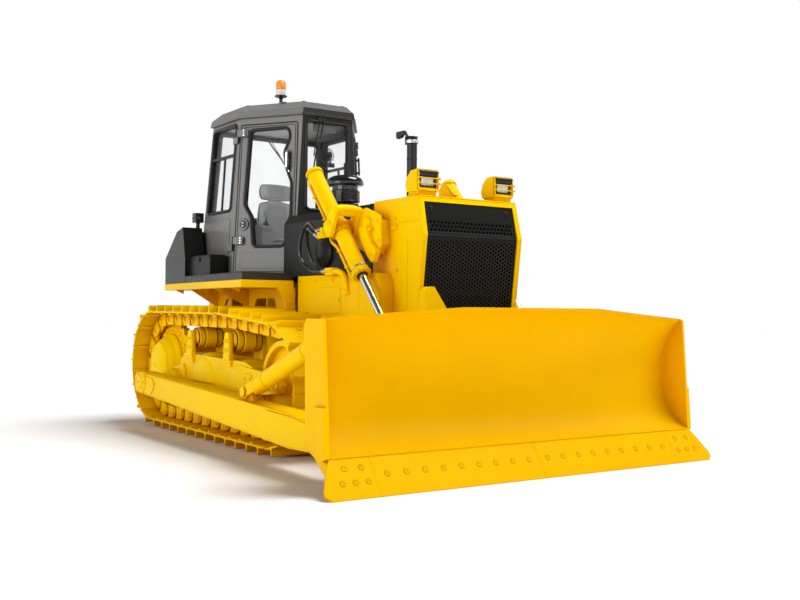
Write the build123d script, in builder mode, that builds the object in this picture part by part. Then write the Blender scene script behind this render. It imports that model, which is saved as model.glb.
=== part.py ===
from build123d import *
import os
import math

os.makedirs("parts", exist_ok=True)

# ---------------------------------------------------------------- driving dimensions (mm)
# +X forward, +Y left, +Z up, origin on the ground under the middle of the machine.
GAUGE = 1880.0            # track centre to track centre
SHOE_W = 510.0            # shoe width
GROUSER_H = 58.0          # grouser above the shoe plate
PLATE_T = 14.0            # shoe plate thickness
PIN_TO_TIP = 135.0        # track pin line to grouser tip
SHOES = 37                # shoes on one track
SPR_X, SPR_Z, SPR_R = -1710.0, 575.5, 440.5   # sprocket centre and pin radius
IDL_X, IDL_Z, IDL_R = 720.0, 537.5, 402.5     # idler centre and pin radius
CAR_X, CAR_TOP = (-950.0, -150.0), 1008.0     # carrier rollers, pin line over the front one
ROLLER_X = (-1262.0, -946.0, -630.0, -314.0, 2.0, 318.0)
ROLLER_Z, ROLLER_R = 290.0, 97.0
RAIL_IN = 55.0            # pin line to the rail the rollers run on
TY = GAUGE / 2            # track centre line

ARM_Y = 1350.0            # push arm centre line
TR_X, TR_Z = -1260.0, 450.0                   # push arm trunnion
CYL_Y = 670.0             # lift cylinder centre line
CYL_X, CYL_Z = 950.0, 1740.0                  # lift cylinder trunnion
EYE_X, EYE_Z = 1850.0, 730.0                  # rod eye on the blade
BRACE_L = (790.0, 505.0)  # brace pin on the arm
BRACE_U = (1985.0, 955.0) # brace pin on the blade

BLADE_EDGE_X = 2572.0     # foremost point of the cutting edge
BLADE_HALF = 1694.0       # half width over the end bits
END_Y = 1613.0            # outer face of the end plates

CAB_Z0, CAB_Z1 = 1427.0, 2890.0               # cab wall bottom and top
WALL = 45.0               # cab wall and door thickness
DECK_Z0, DECK_Z1 = 1300.0, 1362.0             # yellow platform
FLOOR_Z = 1427.0          # deck top


# ---------------------------------------------------------------- drawing helpers
def xz(y):
    return Plane(origin=(0, y, 0), x_dir=(1, 0, 0), z_dir=(0, -1, 0))


def yz(x):
    return Plane(origin=(x, 0, 0), x_dir=(0, 1, 0), z_dir=(1, 0, 0))


def slab_xz(pts, y0, y1, mode=Mode.ADD, r=0):
    with BuildSketch(xz(y1)) as s:
        with BuildLine():
            Polyline(*pts, close=True)
        make_face()
        if r:
            fillet(s.vertices(), r)
    extrude(s.sketch, amount=y1 - y0, mode=mode)


def slab_xy(pts, z0, z1, mode=Mode.ADD, r=0):
    with BuildSketch(Plane.XY.offset(z0)) as s:
        with BuildLine():
            Polyline(*pts, close=True)
        make_face()
        if r:
            fillet(s.vertices(), r)
    extrude(s.sketch, amount=z1 - z0, mode=mode)


def slab_yz(pts, x0, x1, mode=Mode.ADD, r=0):
    with BuildSketch(yz(x0)) as s:
        with BuildLine():
            Polyline(*pts, close=True)
        make_face()
        if r:
            fillet(s.vertices(), r)
    extrude(s.sketch, amount=x1 - x0, mode=mode)


def block(x0, x1, y0, y1, z0, z1, mode=Mode.ADD):
    slab_xy([(x0, y0), (x1, y0), (x1, y1), (x0, y1)], z0, z1, mode)


def rod_y(x, z, r, y0, y1, mode=Mode.ADD):
    with BuildSketch(xz(y1)) as s:
        with Locations((x, z)):
            Circle(r)
    extrude(s.sketch, amount=y1 - y0, mode=mode)


def rod_z(x, y, r, z0, z1, mode=Mode.ADD):
    with BuildSketch(Plane.XY.offset(z0)) as s:
        with Locations((x, y)):
            Circle(r)
    extrude(s.sketch, amount=z1 - z0, mode=mode)


def rod(a, b, r, mode=Mode.ADD):
    d = Vector(*b) - Vector(*a)
    with BuildSketch(Plane(origin=a, z_dir=d)) as s:
        Circle(r)
    extrude(s.sketch, amount=d.length, mode=mode)


def turned_y(x, z, y_mid, profile, mode=Mode.ADD):
    # a turned piece: (offset from y_mid along Y, radius) points, spun about a line along Y
    with BuildSketch(Plane(origin=(x, y_mid, z), x_dir=(0, 1, 0), z_dir=(1, 0, 0))) as s:
        with BuildLine():
            Polyline(*profile, close=True)
        make_face()
    revolve(s.sketch, axis=Axis((x, y_mid, z), (0, 1, 0)), mode=mode)


def turned_z(x, y, profile, mode=Mode.ADD):
    # a turned piece: (radius, height) points, spun about a vertical line
    with BuildSketch(Plane(origin=(x, y, 0), x_dir=(1, 0, 0), z_dir=(0, -1, 0))) as s:
        with BuildLine():
            Polyline(*profile, close=True)
        make_face()
    revolve(s.sketch, axis=Axis((x, y, 0), (0, 0, 1)), mode=mode)


def save(builder, name):
    builder.part.label = name
    export_step(builder.part, "parts/" + name + ".step")


# ---------------------------------------------------------------- track line
CAR_R = 90.0
CIRCLES = [
    (SPR_X, SPR_Z, SPR_R),
    (CAR_X[1], CAR_TOP - CAR_R, CAR_R),
    (IDL_X, IDL_Z, IDL_R),
]


def outer_normal(a, b):
    # unit normal, on the upper side, of the common tangent of two circles
    dx, dz = b[0] - a[0], b[1] - a[1]
    d = math.hypot(dx, dz)
    base = math.atan2(dz, dx)
    return base + math.acos((a[2] - b[2]) / d)


N_REAR = outer_normal(CIRCLES[0], CIRCLES[1])
N_FRONT = outer_normal(CIRCLES[1], CIRCLES[2])


def on_circle(c, ang, off):
    return (c[0] + (c[2] + off) * math.cos(ang), c[1] + (c[2] + off) * math.sin(ang))


def loop_line(off):
    # the closed track line, moved outward by off
    s, c, i = CIRCLES
    low = 1.5 * math.pi
    Line(on_circle(i, low, off), on_circle(s, low, off))
    ThreePointArc(on_circle(s, low, off), on_circle(s, (low + N_REAR) / 2, off), on_circle(s, N_REAR, off))
    Line(on_circle(s, N_REAR, off), on_circle(c, N_REAR, off))
    ThreePointArc(on_circle(c, N_REAR, off), on_circle(c, (N_REAR + N_FRONT) / 2, off), on_circle(c, N_FRONT, off))
    Line(on_circle(c, N_FRONT, off), on_circle(i, N_FRONT, off))
    ThreePointArc(on_circle(i, N_FRONT, off), on_circle(i, (N_FRONT - 0.5 * math.pi) / 2, off), on_circle(i, -0.5 * math.pi, off))


def loop_stations(n):
    # n points evenly spaced on the track line, each with its outward direction
    s, c, i = CIRCLES
    low = 1.5 * math.pi
    runs = []
    p = on_circle(i, low, 0)
    q = on_circle(s, low, 0)
    runs.append(("line", p, q, low))
    runs.append(("arc", s, low, N_REAR))
    runs.append(("line", on_circle(s, N_REAR, 0), on_circle(c, N_REAR, 0), N_REAR))
    runs.append(("arc", c, N_REAR, N_FRONT))
    runs.append(("line", on_circle(c, N_FRONT, 0), on_circle(i, N_FRONT, 0), N_FRONT))
    runs.append(("arc", i, N_FRONT, -0.5 * math.pi))
    lens = []
    for r in runs:
        if r[0] == "line":
            lens.append(math.dist(r[1], r[2]))
        else:
            lens.append(abs(r[2] - r[3]) * r[1][2])
    total = sum(lens)
    out = []
    for k in range(n):
        d = (k + 0.5) * total / n
        for r, ln in zip(runs, lens):
            if d <= ln:
                t = d / ln
                if r[0] == "line":
                    out.append(((r[1][0] + (r[2][0] - r[1][0]) * t, r[1][1] + (r[2][1] - r[1][1]) * t), r[3]))
                else:
                    a = r[2] + (r[3] - r[2]) * t
                    out.append((on_circle(r[1], a, 0), a))
                break
            d -= ln
    return out, total


STATIONS, LOOP_LEN = loop_stations(SHOES)

# ---------------------------------------------------------------- tracks
with BuildPart() as right_track:
    with BuildSketch(xz(-(TY - SHOE_W / 2))) as shoe_line:
        with BuildLine():
            loop_line(PIN_TO_TIP - GROUSER_H)
        make_face()
        for (px, pz), a in STATIONS:
            n = (math.cos(a), math.sin(a))
            t = (-n[1], n[0])
            with BuildLine():
                Polyline(
                    (px + n[0] * 68 - t[0] * 11, pz + n[1] * 68 - t[1] * 11),
                    (px + n[0] * PIN_TO_TIP - t[0] * 7, pz + n[1] * PIN_TO_TIP - t[1] * 7),
                    (px + n[0] * PIN_TO_TIP + t[0] * 7, pz + n[1] * PIN_TO_TIP + t[1] * 7),
                    (px + n[0] * 68 + t[0] * 11, pz + n[1] * 68 + t[1] * 11),
                    close=True,
                )
            make_face()
        with BuildLine():
            loop_line(PIN_TO_TIP - GROUSER_H - PLATE_T)
        make_face(mode=Mode.SUBTRACT)
    extrude(amount=SHOE_W)
    for y_in in (-(TY - 100), -(TY + 55)):
        with BuildSketch(xz(y_in)):
            with BuildLine():
                loop_line(64)
            make_face()
            with BuildLine():
                loop_line(-RAIL_IN)
            make_face(mode=Mode.SUBTRACT)
        extrude(amount=45)
save(right_track, "right_track")

with BuildPart() as left_track:
    mirror(right_track.part, about=Plane.XZ)
save(left_track, "left_track")

# ---------------------------------------------------------------- sprockets, idlers, rollers
TEETH = 27
with BuildPart() as sprockets:
    with BuildSketch(xz(-(TY - 30))):
        with Locations((SPR_X, SPR_Z)):
            Circle(404)
            with PolarLocations(396, TEETH):
                Trapezoid(112, 74, 66, rotation=-90)
    extrude(amount=60)
    rod_y(SPR_X, SPR_Z, 150, -(TY + 30), -(TY - 30), Mode.SUBTRACT)
    mirror(about=Plane.XZ)
save(sprockets, "sprockets")

with BuildPart() as final_drives:
    turned_y(SPR_X, SPR_Z, -TY, [
        (490, 0), (490, 235), (300, 235), (285, 250), (30, 250), (30, 149), (-30, 149), (-30, 300),
        (-62, 305), (-82, 290), (-150, 225), (-172, 216), (-186, 190), (-196, 120), (-204, 0)])
    mirror(about=Plane.XZ)
save(final_drives, "final_drives")

with BuildPart() as idlers:
    turned_y(IDL_X, IDL_Z, -TY, [
        (-117.5, 0), (-117.5, 44), (-110, 44), (-110, 78), (-60, 90), (-40, 110), (-40, 262), (-58, 292), (-106, 300), (-106, 343),
        (-50, 345), (-46, 366), (46, 366), (50, 345), (106, 343), (106, 300), (58, 292), (40, 262),
        (40, 110), (60, 90), (110, 78), (110, 44), (117.5, 44), (117.5, 0)])
    mirror(about=Plane.XZ)
save(idlers, "idlers")

with BuildPart() as rollers:
    for x in ROLLER_X:
        turned_y(x, ROLLER_Z, -TY, [
            (-148, 0), (-148, 34), (-116, 34), (-116, 116), (-106, 118), (-105, ROLLER_R), (-50, ROLLER_R + 0.5),
            (-44, 80), (44, 80), (50, ROLLER_R + 0.5), (105, ROLLER_R), (106, 118), (116, 116), (116, 34), (148, 34), (148, 0)])
    for x, zc in zip(CAR_X, (860.0, 856.0)):
        turned_y(x, zc, -TY, [
            (-116, 0), (-116, 60), (-108, 84), (-104, 94), (-52, 94), (-48, 108), (48, 108), (52, 94), (104, 94),
            (108, 84), (116, 60), (116, 30), (176, 30), (176, 0)])
    mirror(about=Plane.XZ)
save(rollers, "rollers")

# ---------------------------------------------------------------- track frames
with BuildPart() as track_frames:
    # box beam between the runs, idler fork, roller side guards, carrier posts, push arm trunnion
    slab_xz([(-1225, 425), (-1225, 640), (-1120, 715), (150, 690), (310, 650), (310, 425)], -1090, -790)
    for y0, y1 in ((-1108, -1058), (-822, -772)):
        slab_xz([(150, 440), (150, 655), (560, 625), (790, 600), (830, 540), (790, 480), (560, 455)], y0, y1)
        slab_xz([(-1370, 262), (-1390, 420), (-1290, 470), (400, 470), (440, 420), (420, 262)], y0, y1)
    for x, zc in zip(CAR_X, (860.0, 856.0)):
        slab_xz([(x - 95, 640), (x + 95, 640), (x + 52, zc + 30), (x + 30, zc + 52), (x - 30, zc + 52), (x - 52, zc + 30)], -822, -770)
        rod_y(x, zc, 30.2, -830, -760, Mode.SUBTRACT)
        slab_xz([(x - 70, 640), (x + 70, 640), (x + 48, 800), (x + 25, 832), (x - 25, 832), (x - 48, 800)], -1110, -1076)
    turned_y(TR_X, TR_Z, -1090, [(20, 0), (20, 118), (-70, 118), (-110, 92), (-150, 70), (-156, 55), (-352, 55), (-352, 0)])
    slab_xz([(-1400, 330), (-1400, 560), (-1120, 620), (-1060, 560), (-1060, 340), (-1150, 300)], -1108, -1058)
    for x in ROLLER_X:
        rod_y(x, ROLLER_Z, 34.2, -1110, -770, Mode.SUBTRACT)
    # recoil housing in front of the beam, between the fork arms
    slab_xz([(300, 470), (300, 605), (330, 595), (330, 480)], -1060, -820)
    mirror(about=Plane.XZ)
save(track_frames, "track_frames")

# ---------------------------------------------------------------- main frame and rear case
with BuildPart() as main_frame:
    slab_xz([(-1500, 430), (1450, 430), (1636, 560), (1636, 698), (1085, 698), (1085, 998), (-1500, 998)], -300, 300)
    slab_xz([(-1500, 740), (-1500, 998), (90, 998), (90, 880), (60, 740)], -590, 590)
    # equalizer bar across to both track frames
    block(400, 520, -771.5, 771.5, 470, 600)
    # rear cross tube to both track frames
    block(-1120, -1010, -789.5, 789.5, 470, 620)
save(main_frame, "main_frame")

with BuildPart() as rear_case:
    slab_xz([(-2120, 430), (-1500.5, 430), (-1500.5, 1299.5), (-1960, 1299.5), (-2120, 1080)], -449.5, 449.5)
    with BuildSketch(yz(-2120)):
        with Locations((0, 760)):
            with GridLocations(560, 320, 2, 2):
                Circle(13)
    extrude(amount=60, mode=Mode.SUBTRACT)
save(rear_case, "rear_case")

with BuildPart() as drawbar:
    slab_xz([(-2120.5, 470), (-2120.5, 700), (-2200, 700), (-2330, 640), (-2330, 470)], -190, 190)
    with BuildSketch(Plane.XY.offset(500)):
        with BuildLine():
            Polyline((-2300, -150), (-2430, -110), (-2502, -70), (-2502, 70), (-2430, 110), (-2300, 150), close=True)
        make_face()
        with Locations((-2502, 0)):
            Circle(70)
    extrude(amount=60)
    rod_z(-2502, 0, 27, 490, 570, Mode.SUBTRACT)
save(drawbar, "drawbar")

with BuildPart() as engine_block:
    block(-330, 980, -270, 270, 1000, 1740)
    slab_xz([(-330, 1740), (980, 1740), (880, 1850), (-230, 1850)], -140, 140)
save(engine_block, "engine_block")

# ---------------------------------------------------------------- radiator guard, grille, hood
GUARD_XZ = [(1090, 700), (1636, 700), (1760, 1670), (1690, 1955), (1090, 1955)]
GUARD_YZ = [(-460, 690), (460, 690), (460, 1670), (452, 1965), (-452, 1965), (-460, 1670)]
HOLE_YZ = [(-422, 745), (422, 745), (422, 1664), (416, 1912), (-416, 1912), (-422, 1664)]
with BuildPart() as radiator_guard:
    slab_xz(GUARD_XZ, -560, 560)
    slab_yz(GUARD_YZ, 1000, 1800, Mode.INTERSECT)
    slab_yz(HOLE_YZ, 1000, 1800, Mode.SUBTRACT)
    # lifting eye on top, corner bracket low on the right
    slab_xz([(1330, 1950), (1330, 2050), (1372, 2100), (1428, 2092), (1590, 1950)], -15, 15)
    rod_y(1535, 1984, 13, -20, 20, Mode.SUBTRACT)
    slab_yz([(-459, 980), (-459, 1262), (-430, 1292), (-385, 1292), (-270, 1130), (-270, 980)], 1640, 1796)
    slab_xz([(1560, 900), (1560, 1400), (1640, 1400), (1640, 900)], -422, -250, Mode.SUBTRACT)
save(radiator_guard, "radiator_guard")

with BuildPart() as grille:
    slab_xz([(1622, 748), (1634, 748), (1748, 1666), (1696, 1909), (1684, 1909), (1735, 1666)], -560, 560)
    slab_yz([(-420, 748), (420, 748), (420, 1663), (414, 1909), (-414, 1909), (-420, 1663)], 1100, 1800, Mode.INTERSECT)
    slab_yz([(-465, 970), (-465, 1270), (-433, 1298), (-382, 1298), (-260, 1134), (-260, 970)], 1600, 1800, Mode.SUBTRACT)
save(grille, "grille")

with BuildPart() as radiator:
    slab_yz([(-414, 752), (414, 752), (414, 1655), (408, 1860), (-408, 1860), (-414, 1655)], 1330, 1520)
save(radiator, "radiator")

with BuildPart() as hood:
    slab_yz([(-445, 1400), (445, 1400), (445, 1880), (400, 1952), (-400, 1952), (-445, 1880)], -424, 1086)
    slab_yz([(-433, 1390), (433, 1390), (433, 1876), (394, 1940), (-394, 1940), (-433, 1876)], -430, 1120, Mode.SUBTRACT)
save(hood, "hood")

with BuildPart() as lower_panels:
    slab_yz([(-585, 1000), (-565, 1000), (-565, 1380), (-448, 1380), (-448, 1398), (-585, 1398)], 110, 1088)
    slab_xz([(1088, 1000), (1088, 1398), (1330, 1398), (1380, 1330), (1380, 1000)], -585, -461)
    mirror(about=Plane.XZ)
save(lower_panels, "lower_panels")

# ---------------------------------------------------------------- platform, deck, tanks
def edge_y(x, inset=0.0):
    # outer edge of the tapering platform
    return 1092.0 + (x - 77.0) * (231.0 / 2315.0) - inset


with BuildPart() as platform:
    slab_xy([(77, -1092), (77, -610), (-440, -610), (-440, 610), (77, 610), (77, 1092), (-2238, 861), (-2238, -861)], DECK_Z0, DECK_Z1)
    for sgn in (-1, 1):
        # side walls with rounded cut-outs, front legs
        y0, y1 = sorted((sgn * 592, sgn * 616))
        with BuildSketch(xz(y1)) as s:
            with BuildLine():
                Polyline((-1480, 1000), (77, 1000), (77, 1301), (-1480, 1301), close=True)
            make_face()
            for cx in (-1090, -440):
                with Locations((cx, 1120)):
                    RectangleRounded(430, 200, 85, mode=Mode.SUBTRACT)
        extrude(s.sketch, amount=24)
        y0, y1 = sorted((sgn * 592, sgn * 760))
        slab_yz([(sgn * 592, 1000), (sgn * 670, 1000), (sgn * 690, 1200), (sgn * 760, 1301), (sgn * 592, 1301)], 52, 77)
        slab_yz([(sgn * 592, 1060), (sgn * 660, 1160), (sgn * 960, 1301), (sgn * 592, 1301)], -800, -776)
        slab_yz([(sgn * 592, 1060), (sgn * 660, 1160), (sgn * 900, 1301), (sgn * 592, 1301)], -1480, -1456)
    block(-464, -440, -595, 595, 1000, 1301)
save(platform, "platform")

TANK_X1 = -1541.0
with BuildPart() as deck:
    slab_xy([(72, -edge_y(72, 6)), (72, -615), (-445, -615), (-445, 615), (72, 615), (72, edge_y(72, 6)),
             (TANK_X1, edge_y(TANK_X1, 6)), (TANK_X1, 720), (-1770, 720), (-1770, -720), (TANK_X1, -720),
             (TANK_X1, -edge_y(TANK_X1, 6))], DECK_Z1, FLOOR_Z)
save(deck, "deck")

with BuildPart() as rear_tank:
    slab_xz([(-2236, DECK_Z1), (-2236, 1620), (-1830, 1870), (-1624, 1905), (TANK_X1 - 1, 1610), (TANK_X1 - 1, DECK_Z1)], -940, 940)
    slab_xy([(-2250, -edge_y(-2250, 4)), (-2250, edge_y(-2250, 4)), (-1500, edge_y(-1500, 4)), (-1500, -edge_y(-1500, 4))],
            1300, 2000, Mode.INTERSECT)
    block(-1772, -1400, -722, 722, 1300, 2000, Mode.SUBTRACT)
    # low boxes beside the cab
    for sgn in (-1, 1):
        slab_xy([(TANK_X1 - 2, sgn * 722), (-1042, sgn * 722), (-1042, sgn * 885), (TANK_X1 - 2, sgn * 885)], FLOOR_Z, 1612)
    rod_z(-1950, 560, 55, 1780, 1868)
    rod_z(-1950, 560, 70, 1850, 1880)
save(rear_tank, "rear_tank")

# ---------------------------------------------------------------- cab
CAB_H = 1460.0


def cab_hex(z, inset):
    # plan of the cab walls at a height: flat front, angled door faces, flat sides and rear
    f = (2890.0 - z) / CAB_H
    xf = -432.0 - inset
    yside = 625.0 + 75.0 * f - inset
    c = -17.0 + 65.0 * f - inset
    xr = -1595.0 - 140.0 * f + inset
    yf = (c - 0.547 * xf) / 0.8371
    xh = (c - 0.8371 * yside) / 0.547
    return [(xf, -yf), (xf, yf), (xh, yside), (xr, yside), (xr, -yside), (xh, -yside)]


def cab_body(z0, z1, inset0, inset1, mode=Mode.ADD):
    with BuildSketch(Plane.XY.offset(z0)) as a:
        with BuildLine():
            Polyline(*cab_hex(z0, inset0), close=True)
        make_face()
    with BuildSketch(Plane.XY.offset(z1)) as b:
        with BuildLine():
            Polyline(*cab_hex(z1, inset1), close=True)
        make_face()
    loft([a.sketch.face(), b.sketch.face()], ruled=True, mode=mode)


HINGE_0 = Vector(-983.5, -700.0, 1430.0)
U_DIR = Vector(0.8371, 0.547, 0).normalized()
N_DIR = Vector(0.547, -0.8371, 65.0 / 1460.0).normalized()
DOOR_PLANE = Plane(origin=HINGE_0, x_dir=U_DIR, z_dir=N_DIR)
DOOR_OUT = [(24, 18), (612, 18), (646, 560), (650, 1000), (648, 1392), (60, 1392)]
DOOR_GLASS = [(152, 1346), (566, 1352), (577, 1250), (524, 1124), (546, 985), (606, 845), (608, 562), (556, 262),
              (222, 262), (192, 538), (117, 652)]
DOOR_GLASS_R = [45, 60, 60, 80, 120, 90, 200, 60, 50, 90, 90]


def door_outline(grow, thick, start, mode=Mode.ADD):
    with BuildSketch(DOOR_PLANE.offset(start)) as s:
        with BuildLine():
            Polyline(*DOOR_OUT, close=True)
        make_face()
        if grow:
            offset(amount=grow, kind=Kind.INTERSECTION)
        fillet(s.vertices(), 22)
    extrude(s.sketch, amount=-thick, mode=mode)


def glass_outline(shrink, thick, start, mode=Mode.ADD):
    with BuildSketch(DOOR_PLANE.offset(start)) as s:
        with BuildLine():
            FilletPolyline(*DOOR_GLASS, radius=DOOR_GLASS_R, close=True)
        make_face()
        if shrink:
            offset(amount=-shrink)
    extrude(s.sketch, amount=-thick, mode=mode)


SIDE_N = Vector(0, -1, 75.0 / 1460.0).normalized()
SIDE_PLANE = Plane(origin=(-1300, -700, 1430), x_dir=(1, 0, 0), z_dir=SIDE_N)
SIDE_WIN = [(-312, 610), (222, 610), (265, 1415), (-258, 1415)]
FRONT_WIN = [(-225, 2030), (225, 2030), (225, 2840), (-225, 2840)]
REAR_N = Vector(-1, 0, 140.0 / 1460.0).normalized()
REAR_PLANE = Plane(origin=(-1735, 0, 1430), x_dir=(0, -1, 0), z_dir=REAR_N)
REAR_WIN = [(-585, 600), (585, 600), (548, 1405), (-548, 1405)]


def window(plane, pts, shrink, thick, start, mode=Mode.ADD, r=45):
    with BuildSketch(plane.offset(start)) as s:
        with BuildLine():
            Polyline(*pts, close=True)
        make_face()
        fillet(s.vertices(), r)
        if shrink:
            offset(amount=-shrink)
    extrude(s.sketch, amount=-thick, mode=mode)


FRONT_PLANE = Plane(origin=(-432, 0, 0), x_dir=(0, 1, 0), z_dir=(1, 0, 0))

with BuildPart() as right_half_cut:
    # everything taken out of the right wall: door opening and side window
    door_outline(6, 90, 20)
    window(SIDE_PLANE, SIDE_WIN, 0, 90, 20)

# hinge line just outside the corner of the right wall
HINGE_OUT = N_DIR * 16.0
HINGE_DIR = Vector(-4.1, 75.0, 1460.0).normalized()


def hinge_point(h):
    return HINGE_0 + HINGE_DIR * h + HINGE_OUT


with BuildPart() as right_hinge_posts:
    # fixed leaf and lower knuckle of both door hinges
    for h in (288.0, 1290.0):
        a, b = hinge_point(h - 62), hinge_point(h - 2)
        rod((a.X, a.Y, a.Z), (b.X, b.Y, b.Z), 11)
        with BuildSketch(Plane(origin=hinge_point(h - 62), x_dir=(-1, 0, 0), z_dir=HINGE_DIR)) as s:
            with BuildLine():
                Polyline((0, 5), (90, 5), (90, -18), (16, -18), (9, -8), (0, -8), close=True)
            make_face()
        extrude(s.sketch, amount=60)

with BuildPart() as cab_frame:
    cab_body(CAB_Z0, CAB_Z1, 0, 0)
    cab_body(CAB_Z0 - 1, CAB_Z1 + 1, WALL, WALL, Mode.SUBTRACT)
    add(right_half_cut.part, mode=Mode.SUBTRACT)
    add(mirror(right_half_cut.part, about=Plane.XZ, mode=Mode.PRIVATE), mode=Mode.SUBTRACT)
    window(FRONT_PLANE, FRONT_WIN, 0, 90, 20, Mode.SUBTRACT)
    window(REAR_PLANE, REAR_WIN, 0, 90, 20, Mode.SUBTRACT)
    add(right_hinge_posts.part)
    add(mirror(right_hinge_posts.part, about=Plane.XZ, mode=Mode.PRIVATE))
save(cab_frame, "cab_frame")

with BuildPart() as cab_glass:
    window(FRONT_PLANE, FRONT_WIN, 0.5, 8, -16)
    window(REAR_PLANE, REAR_WIN, 0.5, 8, -16)
    window(SIDE_PLANE, SIDE_WIN, 0.5, 8, -16)
    add(mirror(cab_glass.part.solids().sort_by(Axis.Y)[0], about=Plane.XZ, mode=Mode.PRIVATE))
save(cab_glass, "cab_glass")

with BuildPart() as cab_roof:
    cab_body(CAB_Z1 + 0.5, CAB_Z1 + 22, -22, -22)
    cab_body(CAB_Z1 + 22, CAB_Z1 + 62, -22, -14)
    cab_body(CAB_Z1 + 62, 3022, -14, 55)
save(cab_roof, "cab_roof")

with BuildPart() as right_door:
    door_outline(0, WALL, 0)
    glass_outline(0, 90, 20, Mode.SUBTRACT)
    # moving knuckles
    for h in (288.0, 1290.0):
        a, b = hinge_point(h + 2), hinge_point(h + 62)
        rod((a.X, a.Y, a.Z), (b.X, b.Y, b.Z), 11)
        with BuildSketch(Plane(origin=hinge_point(h + 2), x_dir=U_DIR, z_dir=HINGE_DIR)) as s:
            with BuildLine():
                Polyline((0, -5), (110, -5), (110, 24), (36, 24), (28, 9), (0, 9), close=True)
            make_face()
        extrude(s.sketch, amount=60)
    # pull handle
    with BuildSketch(DOOR_PLANE.offset(-2)) as s:
        with Locations((572, 985), (572, 1105)):
            RectangleRounded(22, 22, 6)
    extrude(s.sketch, amount=40)
    with BuildSketch(DOOR_PLANE.offset(34)) as s:
        with Locations((572, 1045)):
            RectangleRounded(24, 170, 10)
    extrude(s.sketch, amount=16)
save(right_door, "right_door")

with BuildPart() as left_door:
    mirror(right_door.part, about=Plane.XZ)
save(left_door, "left_door")

with BuildPart() as right_door_glass:
    glass_outline(0.5, 8, -16)
save(right_door_glass, "right_door_glass")

with BuildPart() as left_door_glass:
    mirror(right_door_glass.part, about=Plane.XZ)
save(left_door_glass, "left_door_glass")

with BuildPart() as seat:
    slab_xz([(-1470, 1700), (-970, 1712), (-955, 1760), (-990, 1800), (-1400, 1790), (-1455, 2200), (-1462, 2225),
             (-1468, 2362), (-1530, 2367), (-1535, 2205), (-1545, 2190)], -225, 225)
    block(-1600, -1400, -300, -175, 2206, 2500, Mode.SUBTRACT)
    block(-1600, -1400, 175, 300, 2206, 2500, Mode.SUBTRACT)
save(seat, "seat")

with BuildPart() as console:
    block(-1400, -1050, -170, 170, FLOOR_Z, 1699)
    for s in (-1, 1):
        y0, y1 = sorted((s * 270, s * 400))
        block(-1510, -960, y0, y1, FLOOR_Z, 1860)
    slab_xz([(-640, FLOOR_Z), (-640, 1880), (-560, 1975), (-482, 1975), (-482, FLOOR_Z)], -200, 200)
save(console, "console")

with BuildPart() as beacon:
    turned_z(-1380, 0, [(0, 3022.5), (60, 3022.5), (60, 3030), (16, 3036), (14, 3190), (62, 3194), (62, 3206), (52, 3212),
                        (52, 3252), (47, 3258), (46, 3340), (36, 3384), (16, 3404), (0, 3408)])
save(beacon, "beacon")

# ---------------------------------------------------------------- lamps, stack, pre-cleaner
with BuildPart() as front_lamps:
    slab_xz([(1520, 1990), (1500, 2040), (1520, 2100), (1570, 2146), (1662, 2152), (1662, 1990)], -445, -265)
    block(1640, 1664, -432, -278, 2018, 2118, Mode.SUBTRACT)
    block(1530, 1655, -435, -275, 1955.5, 1992)
    mirror(about=Plane.XZ)
save(front_lamps, "front_lamps")

with BuildPart() as lamp_lenses:
    block(1640, 1650, -431.5, -278.5, 2018.5, 2117.5)
    mirror(about=Plane.XZ)
save(lamp_lenses, "lamp_lenses")

with BuildPart() as rear_lamps:
    for s in (-1, 1):
        y0, y1 = sorted((s * 705, s * 790))
        a, b = sorted((s * 735, s * 765))
        block(-1678, -1648, a, b, 1901.5, 1962)
        block(-1705, -1622, y0, y1, 1958, 2052)
save(rear_lamps, "rear_lamps")

STACK_X, STACK_Y = 1010.0, -50.0
with BuildPart() as exhaust_stack:
    turned_z(STACK_X, STACK_Y, [(0, 1952.5), (75, 1952.5), (75, 1966), (46, 1972), (41, 1990), (41, 2448), (46, 2450), (46, 2484), (41, 2486),
                                (41, 2498), (35, 2498), (35, 2060), (0, 2060)])
    block(STACK_X - 66, STACK_X - 38, STACK_Y - 7, STACK_Y + 7, 2448, 2490)
    rod_y(STACK_X - 62, 2509, 10, STACK_Y - 22, STACK_Y - 8)
    rod_y(STACK_X - 62, 2509, 10, STACK_Y + 8, STACK_Y + 22)
    block(STACK_X - 70, STACK_X - 54, STACK_Y - 22, STACK_Y - 8, 2452, 2509)
    block(STACK_X - 70, STACK_X - 54, STACK_Y + 8, STACK_Y + 22, 2452, 2509)
    block(STACK_X - 70, STACK_X - 38, STACK_Y - 22, STACK_Y + 22, 2452, 2480)
save(exhaust_stack, "exhaust_stack")

with BuildPart() as rain_cap:
    turned_z(STACK_X, STACK_Y, [(0, 2501), (47, 2501), (49, 2505), (46, 2509), (0, 2512)])
    slab_xz([(STACK_X - 40, 2503), (STACK_X - 74, 2501), (STACK_X - 76, 2518), (STACK_X - 96, 2540), (STACK_X - 168, 2546),
             (STACK_X - 172, 2562), (STACK_X - 88, 2560), (STACK_X - 56, 2526), (STACK_X - 40, 2511)], STACK_Y - 7, STACK_Y + 7)
    rod_y(STACK_X - 156, 2545, 15, STACK_Y - 11, STACK_Y + 11)
save(rain_cap, "rain_cap")

with BuildPart() as precleaner:
    turned_z(90, -120, [(0, 1952.5), (92, 1952.5), (92, 1975), (70, 1985), (70, 2040), (126, 2052), (128, 2150), (120, 2156), (120, 2196),
                        (158, 2200), (162, 2212), (156, 2250), (120, 2276), (60, 2290), (0, 2293)])
save(precleaner, "precleaner")

# ---------------------------------------------------------------- lift cylinders
AX = Vector(EYE_X - CYL_X, 0, EYE_Z - CYL_Z).normalized()
EYE_D = math.hypot(EYE_X - CYL_X, EYE_Z - CYL_Z)


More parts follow.
